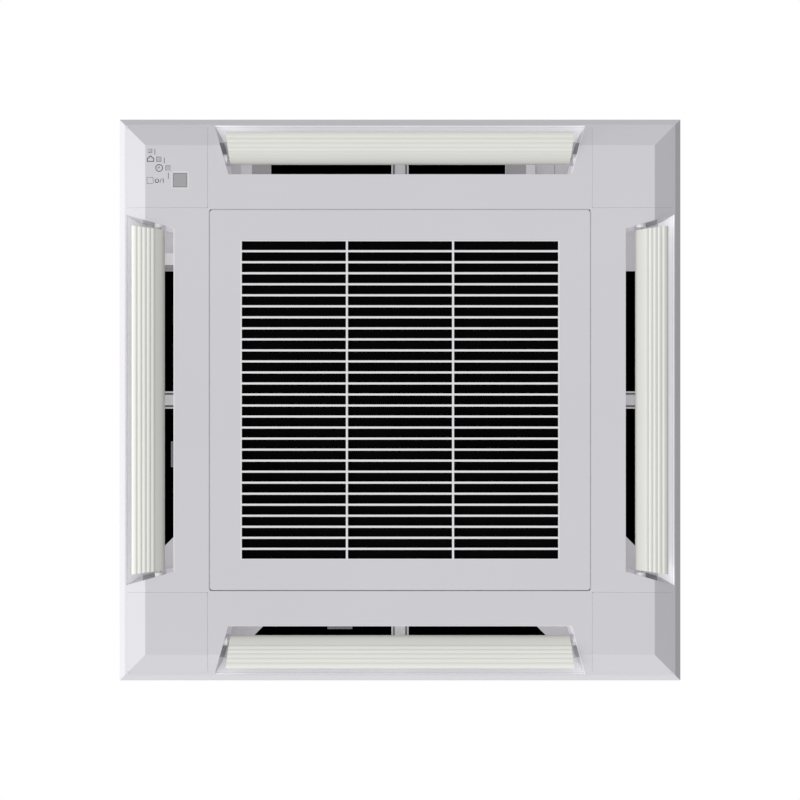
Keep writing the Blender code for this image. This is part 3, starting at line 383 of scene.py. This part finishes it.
def dress_nodes():
    """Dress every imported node, then paint what differs on some of them."""
    for node, slot in SLOT_OF.items():
        side = node.split("_")[-1]
        is_vane = node.startswith("vane_")
        is_liner = node.startswith("outlet_liner_")
        material = MATERIALS["liner_" + side if is_liner else slot]
        piece = dress(node, material, 0.0 if is_vane or node in PLAIN else EDGE_ROUND)
        if node == "intake_grille":
            paint_slats(piece)
        if node in ("casing_wall", "casing_top"):
            line_inside(piece)
        if is_liner:
            paint_outer_wall(piece, side)
        if node == "panel_frame":
            paint_outlet_edges(piece)
        if is_vane:
            shade_nose(piece, side)


def cut_field(shape):
    """Part the grille's faces along the edges of the slotted field."""
    for axis in (0, 1):
        for side in (-1, 1):
            normal = Vector((0, 0, 0))
            normal[axis] = side
            whole = shape.verts[:] + shape.edges[:] + shape.faces[:]
            bmesh.ops.bisect_plane(
                shape, geom=whole, dist=CUT_SLACK, plane_no=normal,
                plane_co=place(0, 0, 0) + normal * FIELD_HALF,
            )


def paint_slats(piece):
    """The slats between the slots are a shade lighter than the plain border."""
    mesh = piece.data
    mesh.materials.append(MATERIALS["slat"])
    for face in mesh.polygons:
        spots = [mesh.vertices[i].co for i in face.vertices]
        reach = max(max(abs(v.x - CENTRE.x), abs(v.y - CENTRE.y)) for v in spots)
        if reach < FIELD_HALF + FIELD_SLACK:
            face.material_index = 1


def paint_outer_wall(piece, side):
    """Painted light on the sloped outer wall of an outlet: a paler glowing material, so it looks
    as pale as the panel round it.
    """
    piece.data.materials.append(MATERIALS["wall_" + side])
    outwards = Vector((*OUTWARDS[side], 0))
    for face in piece.data.polygons:
        reach = (face.center - place(0, 0, 0)).dot(outwards)
        if reach > BEVEL_FROM and face.normal.dot(outwards) < WALL_OUT and face.normal.z < WALL_UP:
            face.material_index = 1


def paint_outlet_edges(piece):
    """Painted light on the cut edge of the panel's shell along the outer side of each outlet, in
    the walls' glowing material.
    """
    low, high = SHELL_EDGE
    for index, (side, way) in enumerate(OUTWARDS.items(), 1):
        piece.data.materials.append(MATERIALS["wall_" + side])
        outwards = Vector((*way, 0))
        for face in piece.data.polygons:
            reach = (face.center - place(0, 0, 0)).dot(outwards)
            if low < reach < high and face.normal.dot(outwards) < SHELL_OUT:
                face.material_index = index


def shade_nose(piece, side):
    """Painted shade on a vane, darker where its nose curls up into the outlet, with its own
    painted shade and light on each side.
    """
    material = moulded_plastic("vane_" + side, WARM, 0.40, depth=0.02)
    tree = material.node_tree
    shader = tree.nodes["Principled BSDF"]
    where = tree.nodes.new("ShaderNodeTexCoord").outputs["Object"]
    reach = add(tree, "ShaderNodeVectorMath")
    reach.operation = "DOT_PRODUCT"
    reach.inputs[1].default_value = (*OUTWARDS[side], 0)
    tree.links.new(where, reach.inputs[0])
    span = add(tree, "ShaderNodeMapRange")
    start = place(0, 0, 0).dot(Vector((*OUTWARDS[side], 0)))
    span.inputs["From Min"].default_value = start + NOSE_SPAN[0]
    span.inputs["From Max"].default_value = start + NOSE_SPAN[1]
    tree.links.new(reach.outputs["Value"], span.inputs["Value"])
    shade = ramp(tree, span.outputs["Result"], NOSE_SHADES[side])
    base = shader.inputs["Base Color"].links[0].from_socket
    mixed = tree.nodes.new("ShaderNodeMix")
    mixed.data_type = "RGBA"
    mixed.blend_type = "MULTIPLY"
    mixed.inputs["Factor"].default_value = 1.0
    tree.links.new(base, mixed.inputs[6])
    tree.links.new(shade, mixed.inputs[7])
    tree.links.new(mixed.outputs[2], shader.inputs["Base Color"])
    piece.data.materials[0] = material


def line_inside(piece):
    """The steel's inner faces carry a black foam lining, whose near-zero black also paints the
    shade deep inside the unit.
    """
    piece.data.materials.append(MATERIALS["dark_foam"])
    middle = Vector((CENTRE.x, CENTRE.y, 0))
    for face in piece.data.polygons:
        towards = middle - Vector((face.center.x, face.center.y, 0))
        inwards = face.normal.dot(towards.normalized()) if towards.length > 0 else 0
        if face.normal.z < LINING_UP or inwards > LINING_IN:
            face.material_index = 1


def make_piece(name, material, body="unit"):
    """An empty bmesh and what turns it into a piece of that body."""
    shape = bmesh.new()

    def done(smooth=True):
        mesh = bpy.data.meshes.new(name)
        bmesh.ops.recalc_face_normals(shape, faces=shape.faces)
        shape.to_mesh(mesh)
        shape.free()
        mesh.materials.append(MATERIALS[material])
        piece = bpy.data.objects.new(name, mesh)
        bpy.context.scene.collection.objects.link(piece)
        if smooth:
            finish_mesh(piece)
        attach(piece, body)

    return shape, done


def add_loft(shape, rings):
    """Closed body through rings of places that have the same number of corners."""
    loops = [[shape.verts.new(spot) for spot in ring] for ring in rings]
    for a, b in zip(loops, loops[1:]):
        for i in range(len(a)):
            j = (i + 1) % len(a)
            shape.faces.new((a[i], a[j], b[j], b[i]))
    shape.faces.new(loops[0][::-1])
    shape.faces.new(loops[-1])


def add_box(shape, low, high):
    """Box between two points given from the panel's centre and face."""
    a, b = place(*low), place(*high)
    grown = bmesh.ops.create_cube(shape, size=1.0)
    for vertex in grown["verts"]:
        vertex.co = [p + (q - p) * (c + 0.5) for p, q, c in zip(a, b, vertex.co)]


# Signs on the front left cover, in the photo's pixels from its left and top edges
PIXEL = PANEL_WIDTH / PANEL_IN_PHOTO
INK_HEIGHT = 0.08 * MM
TICKS = ((155.5, 149.8, 155.0), (164.9, 158.5, 163.8), (169.0, 173.5, 179.3))
HOUSE_CENTRE = (151.2, 159.4)
HOUSE_HALF = ((3.2, 2.6), (3.2, -0.2), (2.7, -0.8), (1.6, -0.9), (1.2, -1.9), (0.0, -2.8))
CLOCK_CENTRE = (159.8, 168.6)
CLOCK_RADIUS = 3.4
CLOCK_HANDS = ((0.0, -1.8), (0.0, 0.0), (-1.6, 0.0))
POWER_CENTRE = (157.5, 181.3)
POWER_RADIUS = 1.8
# Strokes of the power sign from its centre: where each starts and ends, and its width
POWER_STROKES = (
    ((0.0, -2.4), (0.0, -0.8), 0.5),
    ((3.0, 1.9), (4.5, -2.1), 0.5),
    ((6.4, -2.1), (6.4, 1.9), 0.7),
)
# Widths of the printed strokes
TICK_INK = 0.6
HOUSE_INK = 0.8
CLOCK_INK = 0.75
HAND_INK = 0.6
POWER_INK = 0.7


def photo_place(px, py):
    """Panel place of a pixel of the photo."""
    middle = PHOTO_WIDTH / 2
    return (px - middle) * PIXEL, (py - middle) * PIXEL


def ink_line(shape, a, b, width):
    """A printed stroke between two pixels of the photo."""
    start = Vector(photo_place(*a))
    end = Vector(photo_place(*b))
    along = (end - start).normalized()
    side = Vector((-along.y, along.x)) * width * PIXEL / 2
    start -= along * width * PIXEL / 4
    end += along * width * PIXEL / 4
    corners = (start - side, start + side, end + side, end - side)
    add_loft(shape, [[place(c.x, c.y, up) for c in corners] for up in (0.0, -INK_HEIGHT)])


def ink_path(shape, points, width):
    """Printed strokes from each point to the next."""
    for a, b in zip(points, points[1:]):
        ink_line(shape, a, b, width)


def ring_points(centre, radius, start=0, end=360, steps=20):
    """Points round a centre, between two angles in degrees."""
    angles = [math.radians(start + (end - start) * i / steps) for i in range(steps + 1)]
    return [(centre[0] + radius * math.cos(a), centre[1] + radius * math.sin(a)) for a in angles]


def make_signs():
    """Filter house, clock, power sign and ticks beside the lamps."""
    shape, done = make_piece("cover_signs", "sign")
    for x, top, bottom in TICKS:
        ink_line(shape, (x, top), (x, bottom), TICK_INK)
    x, y = HOUSE_CENTRE
    left_half = [(-a, b) for a, b in HOUSE_HALF]
    house = left_half + list(HOUSE_HALF[-2::-1]) + left_half[:1]
    ink_path(shape, [(x + a, y + b) for a, b in house], HOUSE_INK)
    ink_path(shape, ring_points(CLOCK_CENTRE, CLOCK_RADIUS), CLOCK_INK)
    x, y = CLOCK_CENTRE
    ink_path(shape, [(x + a, y + b) for a, b in CLOCK_HANDS], HAND_INK)
    ink_path(shape, ring_points(POWER_CENTRE, POWER_RADIUS, -50, 230, 14), POWER_INK)
    x, y = POWER_CENTRE
    for a, b, width in POWER_STROKES:
        ink_line(shape, (x + a[0], y + a[1]), (x + b[0], y + b[1]), width)
    done(smooth=False)


# Webs behind the corner covers: where they start, how wide, thick and far behind the face
WEB_FROM = 209.5 * MM
WEB_WIDTH = 3.5 * MM
WEB_THICK = 1.2 * MM
WEB_UP = 0.35 * MM
SLOPE_THICK = 1.0 * MM
# Stretches of the sloped strips along the cover's cut and along the rim, and how far behind
CUT_REACH = 304 * MM
RIM_REACH = (300 * MM, 302 * MM)
RIM_UP = 0.05 * MM


def make_cover_backings():
    """Webs of the panel frame that close the narrow gap round each corner cover from behind."""
    shape, done = make_piece("cover_backing", "lilac_white")
    near, far = WEB_FROM, WEB_FROM + WEB_WIDTH
    for sx in (-1, 1):
        for sy in (-1, 1):
            for x1, y1 in ((far, BEVEL_FROM), (BEVEL_FROM, far)):
                xs = sorted((sx * near, sx * x1))
                ys = sorted((sy * near, sy * y1))
                add_box(shape, (xs[0], ys[0], WEB_UP), (xs[1], ys[1], WEB_UP + WEB_THICK))
            for along_x in (True, False):
                add_slope_backing(shape, sx, sy, along_x)
    done()


def add_slope_backing(shape, sx, sy, along_x):
    """Strips behind the bevel, along the cover's straight cut and along the rim."""
    tilt = math.cos(math.atan(BEVEL_SLOPE))
    rim_from, rim_to = RIM_REACH
    strips = (
        (WEB_UP, BEVEL_FROM, CUT_REACH, WEB_FROM + WEB_WIDTH),
        (RIM_UP, rim_from, rim_to, rim_to),
    )
    for up, r0, r1, t1 in strips:
        rings = []
        for lift in (0.0, SLOPE_THICK):
            ring = []
            for r, t in ((r0, WEB_FROM), (r1, WEB_FROM), (r1, t1), (r0, t1)):
                x, y = (r, t) if along_x else (t, r)
                height = (r - BEVEL_FROM) * BEVEL_SLOPE + up / tilt + lift
                ring.append(place(sx * x, sy * y, height))
            rings.append(ring)
        add_loft(shape, rings)


# The outlet's ends and the liner's slope, from the panel's centre and up from its face
OUTLET_IN = 249 * MM
OUTLET_END = 189.4 * MM
OUTLET_SPREAD = 15.2 / 54
LEDGE_UP = 23 * MM
SLOPE_FROM = 290.7 * MM
SLOPE_RISE = 0.94
END_DRAFT = 0.23
# End walls: a glowing pale plate near the inner edge, painted light; a mottled dark patch further
# out, painted shade; plain panel plastic
END_PARTS = (
    ("end_inner", "end_light", (249.2, 258.5)),
    ("end_shade_patch", "mottled_shade", (272.0, 284.0)),
    ("end_outer", "lilac_white", (284.0, 290.7, 302.4)),
)
# How far an end wall laps behind the panel's end, over its face and into the liner
END_LAP = 0.1 * MM
END_OVER_FACE = 0.6 * MM
END_INTO_LINER = 0.2 * MM
# Bands of painted light and painted shade across the closed ends of the outlets: side, from and to
# along it, and tone
BANDS = (
    ("front", -175.8, -163.7, "end_light"), ("front", -163.7, -142.9, "end_dark"),
    ("left", 149.3, 162.6, "end_light"), ("left", 142.9, 149.3, "mottled_shade"),
    ("front", 117.0, 139.4, "end_dark"), ("front", 139.4, 149.6, "end_light"),
    ("front", 149.6, 150.6, "end_dark"), ("front", 170.4, 171.4, "end_dark"),
)
BAND_REACH = (249.2, 262.0)
BAND_UP = (22.4, 23.1)
# Painted highlights along the outlets' edges: side and width, from the inner edge, over a half
# length
LIT_INNER = (("left", 0.8), ("back", 0.5))
LIT_FROM = 249.0
LIT_HALF = 189.0
LIT_UP = (0.25, 0.9)
# Painted highlights at the outlets' ends: side, which end and width, at some distances outwards
LIT_ENDS = (("front", 1, 0.9), ("back", -1, 0.9))
LIT_STATIONS = (249.2, 258.0, 281.0, 302.6)
LIT_END_UP = 0.3 * MM
LIT_END_THICK = 0.6 * MM


def end_of_outlet(r):
    """Half length of an outlet at a distance from the panel's centre."""
    return OUTLET_END + (r - OUTLET_IN) * OUTLET_SPREAD


def height_of_face(r):
    """Height of the panel's face, which is flat as far as the bevel."""
    return max(r - BEVEL_FROM, 0) * BEVEL_SLOPE


def height_of_liner(r):
    """Height of the liner's closed ends and of its sloped outer wall."""
    return min(LEDGE_UP, LEDGE_UP - (r - SLOPE_FROM) * SLOPE_RISE)


def turned(side, r, t, z):
    """Place of a point given outwards, along and up on one side of the panel."""
    x, y = OUTWARDS[side]
    return place(r * x - t * y, r * y + t * x, z)


def add_wedge(shape, side, sign, stations):
    """End wall that slopes into the outlet between some distances from the centre."""
    rings = []
    for r in stations:
        end = end_of_outlet(r) + END_LAP
        top = height_of_face(r) + END_OVER_FACE
        deep = height_of_liner(r) + END_INTO_LINER
        width = (deep - top) * END_DRAFT
        spots = ((end, top), (end, deep), (end - width, deep))
        rings.append([turned(side, r, sign * t, z) for t, z in spots])
    add_loft(shape, rings)


def add_span(shape, side, reach, along, up):
    """Box on one side between pairs of millimetres outwards, along and up."""
    a, b = [turned(side, *[v * MM for v in spot]) for spot in zip(reach, along, up)]
    centre = place(0, 0, 0)
    low = [min(p, q) - c for p, q, c in zip(a, b, centre)]
    high = [max(p, q) - c for p, q, c in zip(a, b, centre)]
    add_box(shape, low, high)


def make_outlet_ends():
    """Sloped end walls with painted light and painted shade, and the bands of painted light and
    shade across the closed ends.
    """
    for name, material, stations in END_PARTS:
        shape, done = make_piece(name, material)
        for side in OUTWARDS:
            for sign in (-1, 1):
                add_wedge(shape, side, sign, [r * MM for r in stations])
        done(smooth=False)
    for tone in ("end_light", "end_dark", "mottled_shade"):
        shape, done = make_piece("band_" + tone, tone)
        for side, t0, t1, kind in BANDS:
            if kind == tone:
                add_span(shape, side, BAND_REACH, (t0, t1), BAND_UP)
        done(smooth=False)


def make_lit_edges():
    """Pale strips along the outlets' thin rounded edges: painted highlights where the edges catch
    the light.
    """
    shape, done = make_piece("outlet_edges", "edge_light")
    for side, width in LIT_INNER:
        add_span(shape, side, (LIT_FROM, LIT_FROM + width), (-LIT_HALF, LIT_HALF), LIT_UP)
    for side, sign, width in LIT_ENDS:
        rings = []
        for r in [station * MM for station in LIT_STATIONS]:
            outer, low = end_of_outlet(r) + END_LAP, height_of_face(r) + LIT_END_UP
            inner, high = outer - width * MM, low + LIT_END_THICK
            spots = ((outer, low), (outer, high), (inner, high), (inner, low))
            rings.append([turned(side, r, sign * t, z) for t, z in spots])
        add_loft(shape, rings)
    done(smooth=False)


# Painted shade in the bridges' grooves and on the lugs: where the dark plates lie along the side,
# outwards and up, in millimetres
GROOVES = ((-7.8, -5.8), (5.8, 7.8))
GROOVE_REACH = (249.2, 264.0)
GROOVE_UP = (25.6, 26.4)
LUGS = (("left", -73.8, -46.2), ("back", 53.2, 79.8))
LUG_REACH = (249.3, 252.9)
LUG_UP = (18.8, 19.2)


def make_groove_shade():
    """Painted shade: dark plates on the floors of the grooves along each bridge and on the faces
    of the two lugs.
    """
    shape, done = make_piece("groove_shade", "mottled_shade")
    for side in OUTWARDS:
        for along in GROOVES:
            add_span(shape, side, GROOVE_REACH, along, GROOVE_UP)
    done(smooth=False)
    shape, done = make_piece("lug_face_shade", "lug_shade_grey")
    for side, low, high in LUGS:
        add_span(shape, side, LUG_REACH, (low, high), LUG_UP)
    done(smooth=False)


# Painted highlight round the receiver window
window_low, window_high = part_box("receiver_window")
RING_HALF = 9.4 * MM
RING_WIDTH = 0.45 * MM
RING_UP = (-0.12 * MM, 0.1 * MM)


def make_receiver_ring():
    """Thin pale strip round the receiver window: a painted highlight on its edges."""
    shape, done = make_piece("receiver_ring", "edge_light")
    middle = (window_low + window_high) / 2
    x, y = middle.x - CENTRE.x, middle.y - CENTRE.y
    inner, outer = RING_HALF, RING_HALF + RING_WIDTH
    bottom, top = RING_UP
    for a, b in ((-outer, -inner), (inner, outer)):
        add_box(shape, (x + a, y - outer, bottom), (x + b, y + outer, top))
        add_box(shape, (x - outer, y + a, bottom), (x + outer, y + b, top))
    done(smooth=False)


# Pan heads: sides, and the share of radius and height of each ring of their profile
HEAD_SIDES = 14
HEAD_PROFILE = ((1.0, -0.2), (1.0, 0.5), (0.72, 1.0))
# Radius and height of the casing's, the lid's and the bell mouth's heads, in millimetres
CASING_HEAD = (3.6, 1.9)
LID_HEAD = (3.0, 1.4)
BELL_HEAD = (3.2, 1.6)
# Faces that carry screws, in millimetres from the panel's centre and face
WALL_AT = (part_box("casing_wall")[1].x - CENTRE.x) / MM
PLATE_AT = (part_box("pipe_plate")[1].x - CENTRE.x) / MM
LID_AT = (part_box("control_box_lid")[0].z - FACE) / MM
BELL_AT = (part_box("bell_mouth")[0].z - FACE) / MM
TOP_AT = 277.0
HANGER_AT = 349.8
# Screws along a wall's top and foot, and along the casing top's border
WALL_ROWS = ((267.0, (-190, -95, 0, 95, 190)), (44.0, (-190, 190)))
BORDER_OUT = 273.0
BORDER_ROW = (-150, -50, 50, 150)
HANGER_ROW = (-19, 19)
HANGER_UP = (131.0, 148.0)
PLATE_ROWS = ((110, 192), (155, 219))
LID_ROWS = ((-143, 143), (-201, -181))
BELL_SCREWS = 8
BELL_SCREW_OUT = 163.0


def add_head(shape, centre, way, size):
    """Pan head of a screw that stands out from a point given in millimetres."""
    radius, height = size
    way = Vector(way).normalized()
    across = way.orthogonal().normalized()
    beside = way.cross(across)
    start = place(*[v * MM for v in centre])
    rings = []
    for share, rise in HEAD_PROFILE:
        ring = []
        for i in range(HEAD_SIDES):
            angle = 2 * math.pi * i / HEAD_SIDES
            spoke = across * math.cos(angle) + beside * math.sin(angle)
            ring.append(start + (spoke * radius * share + way * height * rise) * MM)
        rings.append(ring)
    add_loft(shape, rings)


def wall_screws():
    """Places and ways of the screws on the casing's walls and on its top's border."""
    spots = []
    for x, y in OUTWARDS.values():
        for height, row in WALL_ROWS:
            for t in row:
                spots.append(((WALL_AT * x - t * y, WALL_AT * y + t * x, height), (x, y, 0)))
        for t in BORDER_ROW:
            spots.append(((BORDER_OUT * x - t * y, BORDER_OUT * y + t * x, TOP_AT), (0, 0, 1)))
    return spots


def hanger_screws():
    """Places and ways of the four screws of each hanger's leg."""
    spots = []
    half = math.sqrt(0.5)
    for sx in (-1, 1):
        for sy in (-1, 1):
            for t in HANGER_ROW:
                x = (sx * HANGER_AT - sy * t) * half
                y = (sy * HANGER_AT + sx * t) * half
                spots += [((x, y, height), (sx, sy, 0)) for height in HANGER_UP]
    return spots


def make_screws():
    """Screws of the casing, the hangers, the pipe plate, the control box and the bell mouth."""
    shape, done = make_piece("casing_screws", "galvanised")
    rows, heights = PLATE_ROWS
    plate = [((PLATE_AT, y, z), (1, 0, 0)) for y in rows for z in heights]
    for centre, way in wall_screws() + hanger_screws() + plate:
        add_head(shape, centre, way, CASING_HEAD)
    for x in LID_ROWS[0]:
        for y in LID_ROWS[1]:
            add_head(shape, (x, y, LID_AT), (0, 0, -1), LID_HEAD)
    done()
    shape, done = make_piece("bell_screws", "galvanised")
    for i in range(BELL_SCREWS):
        angle = 2 * math.pi * (i + 0.5) / BELL_SCREWS
        x, y = BELL_SCREW_OUT * math.cos(angle), BELL_SCREW_OUT * math.sin(angle)
        add_head(shape, (x, y, BELL_AT), (0, 0, -1), BELL_HEAD)
    done()


# Pressed fields of the walls: half length, height above the wall, and width of the slope
FIELD_LENGTH = 172.0
FIELD_RISE = 1.0
FIELD_SLOPE = 3.0
FIELD_ROOT = 0.3
FIELDS = {"right": ((62.0, 128.0),)}
PLAIN_FIELDS = ((70.0, 145.0), (163.0, 238.0))
# Folded laps beside the casing's corners, and the seal between the casing and the panel
LAPS = ((-204.0, -196.5), (196.5, 204.0))
LAP_UP = (50.0, 260.0)
LAP_REACH = (WALL_AT - 0.2, WALL_AT + 0.5)
SEAL_REACH = (283.2, 284.7)
SEAL_ALONG = (-203.0, 203.0)
SEAL_UP = (29.2, 34.9)


def add_field(shape, side, low, high):
    """Shallow pressed field with sloped edges, between two heights of a casing wall."""
    rings = []
    for out, inset in ((WALL_AT - FIELD_ROOT, 0.0), (WALL_AT + FIELD_RISE, FIELD_SLOPE)):
        end, bottom, top = FIELD_LENGTH - inset, low + inset, high - inset
        corners = ((-end, bottom), (end, bottom), (end, top), (-end, top))
        rings.append([turned(side, out * MM, t * MM, z * MM) for t, z in corners])
    add_loft(shape, rings)


def make_casing_details():
    """Pressed fields and folded laps of the walls, and the foam seal at their foot."""
    shape, done = make_piece("pressed_fields", "galvanised")
    for side in OUTWARDS:
        for low, high in FIELDS.get(side, PLAIN_FIELDS):
            add_field(shape, side, low, high)
    done(smooth=False)
    shape, done = make_piece("wall_laps", "galvanised")
    for side in OUTWARDS:
        for along in LAPS:
            add_span(shape, side, LAP_REACH, along, LAP_UP)
    done(smooth=False)
    shape, done = make_piece("foot_seal", "dark_foam")
    for side in OUTWARDS:
        add_span(shape, side, SEAL_REACH, SEAL_ALONG, SEAL_UP)
    done(smooth=False)


# Ribs on the filter's back: how many each way, their pitch, and which ones are wide
RIBS = 13
RIB_PITCH = 28 * MM
RIB_END = 174 * MM
RIB_UP = (10.2 * MM, 11.3 * MM)
WIDE_EVERY = 3
RIB_HALF = 0.6 * MM
WIDE_HALF = 1.2 * MM


def make_filter_ribs():
    """Fine ribs on the back of the air filter, which open with the grille."""
    shape, done = make_piece("filter_ribs", "fan_black", "grille")
    low, high = RIB_UP
    for i in range(RIBS):
        at = (i - (RIBS - 1) / 2) * RIB_PITCH
        half = RIB_HALF if i % WIDE_EVERY else WIDE_HALF
        add_box(shape, (at - half, -RIB_END, low), (at + half, RIB_END, high))
        add_box(shape, (-RIB_END, at - half, low), (RIB_END, at + half, high))
    done(smooth=False)


# Ledge in the gap round the grille: inner and outer side, the hinge's side, and its heights
GAP_FILL = (209.95 * MM, 211.1 * MM)
GAP_FILL_BACK = 210.3 * MM
GAP_FILL_UP = (0.7 * MM, 2.2 * MM)
# Fillers in the corners of the grille's opening: steps of the round, lap and heights
CORNER_STEPS = 8
CORNER_LAP = 0.2 * MM
CORNER_UP = (0.01 * MM, 2.4 * MM)


def make_gap_ledge():
    """Ledge of the panel in the gap round the grille, and the round corners of its opening."""
    shape, done = make_piece("gap_ledge", "lilac_white")
    low, high = GAP_FILL
    bottom, top = GAP_FILL_UP
    for sign in (-1, 1):
        a, b = sorted((sign * low, sign * high))
        add_box(shape, (a, -high, bottom), (b, GAP_FILL_BACK, top))
    add_box(shape, (-high, -high, bottom), (high, -low, top))
    add_box(shape, (-high, GAP_FILL_BACK, bottom), (high, high, top))
    done(smooth=False)
    shape, done = make_piece("opening_corners", "lilac_white")
    half = GRILLE_HALF + GRILLE_GAP
    radius = CORNER_RADIUS + GRILLE_GAP
    outer, start = half + CORNER_LAP, half - radius
    outline = [(outer, outer), (outer, start)]
    for i in range(CORNER_STEPS + 1):
        angle = math.radians(90 * i / CORNER_STEPS)
        outline.append((start + radius * math.cos(angle), start + radius * math.sin(angle)))
    outline.append((start, outer))
    for sx in (-1, 1):
        for sy in (-1, 1):
            add_loft(shape, [[place(sx * x, sy * y, up) for x, y in outline] for up in CORNER_UP])
    done(smooth=False)


# Key lamp: the way it shines, its softness in degrees and its strength
KEY_WAY = (0.85, -0.25, 0.45)
KEY_SOFTNESS = 30.0
KEY_STRENGTH = 0.55
# Light from each direction: a level, and how it grows to the right, the back and above
WORLD_LEVEL = 0.875
WORLD_SLOPE = (-0.65, 0.22, -0.05)
FLOOR_SIZE = 60.0
FLOOR_BELOW = 1.0
FLOOR_FILL = 0.12
WHITE = (1, 1, 1, 1)


def make_camera():
    """Looks straight up at the panel, with the panel's front edge at the top of the picture."""
    data = bpy.data.cameras.new("camera")
    data.sensor_width = SENSOR
    reach = CAMERA_DISTANCE + PANEL_DROP
    data.lens = SENSOR * reach * (PANEL_IN_PHOTO / PHOTO_WIDTH) / PANEL_WIDTH
    camera = bpy.data.objects.new("camera", data)
    bpy.context.scene.collection.objects.link(camera)
    camera.location = place(0, 0, -CAMERA_DISTANCE)
    camera.rotation_euler = (math.pi, 0, 0)
    bpy.context.scene.camera = camera


def make_key():
    """Distant soft lamp that lights the panel from the left."""
    data = bpy.data.lights.new("key", "SUN")
    data.angle = math.radians(KEY_SOFTNESS)
    data.energy = KEY_STRENGTH
    light = bpy.data.objects.new("key", data)
    bpy.context.scene.collection.objects.link(light)
    light.rotation_euler = Vector(KEY_WAY).to_track_quat("-Z", "Y").to_euler()


def make_world():
    """White studio surround: seen as white, and lighting the part more gently."""
    world = bpy.data.worlds.new("studio")
    bpy.context.scene.world = world
    world.use_nodes = True
    tree = world.node_tree
    background = tree.nodes["Background"]
    seen = add(tree, "ShaderNodeBackground", Strength=1.0)
    seen.inputs["Color"].default_value = WHITE
    where = tree.nodes.new("ShaderNodeTexCoord")
    along = add(tree, "ShaderNodeVectorMath")
    along.operation = "DOT_PRODUCT"
    along.inputs[1].default_value = WORLD_SLOPE
    level = add(tree, "ShaderNodeMath")
    level.operation = "ADD"
    level.inputs[1].default_value = WORLD_LEVEL
    tree.links.new(where.outputs["Generated"], along.inputs[0])
    tree.links.new(along.outputs["Value"], level.inputs[0])
    tree.links.new(level.outputs[0], background.inputs["Strength"])
    background.inputs["Color"].default_value = WHITE
    path = tree.nodes.new("ShaderNodeLightPath")
    mix = tree.nodes.new("ShaderNodeMixShader")
    tree.links.new(path.outputs["Is Camera Ray"], mix.inputs[0])
    tree.links.new(background.outputs[0], mix.inputs[1])
    tree.links.new(seen.outputs[0], mix.inputs[2])
    tree.links.new(mix.outputs[0], tree.nodes["World Output"].inputs["Surface"])
    bpy.context.scene.view_settings.view_transform = "Standard"


def make_floor():
    """Plain pale floor, well below the ceiling that the part hangs from."""
    mesh = bpy.data.meshes.new("floor")
    shape = bmesh.new()
    bmesh.ops.create_grid(shape, x_segments=1, y_segments=1, size=FLOOR_SIZE)
    shape.to_mesh(mesh)
    shape.free()
    floor = bpy.data.objects.new("floor", mesh)
    floor.location = place(0, 0, -CAMERA_DISTANCE - FLOOR_BELOW)
    pale = moulded_plastic("floor_pale", (0.90, 0.90, 0.895), 0.8, grain=40.0)
    shader = pale.node_tree.nodes["Principled BSDF"]
    shader.inputs["Emission Color"].default_value = WHITE
    shader.inputs["Emission Strength"].default_value = FLOOR_FILL
    mesh.materials.append(pale)
    floor.visible_diffuse = False
    floor.visible_glossy = False
    floor.visible_shadow = False
    bpy.context.scene.collection.objects.link(floor)


make_camera()
dress_nodes()
make_signs()
make_cover_backings()
make_outlet_ends()
make_lit_edges()
make_gap_ledge()
make_groove_shade()
make_receiver_ring()
make_screws()
make_casing_details()
make_filter_ribs()
make_world()
make_key()
make_floor()
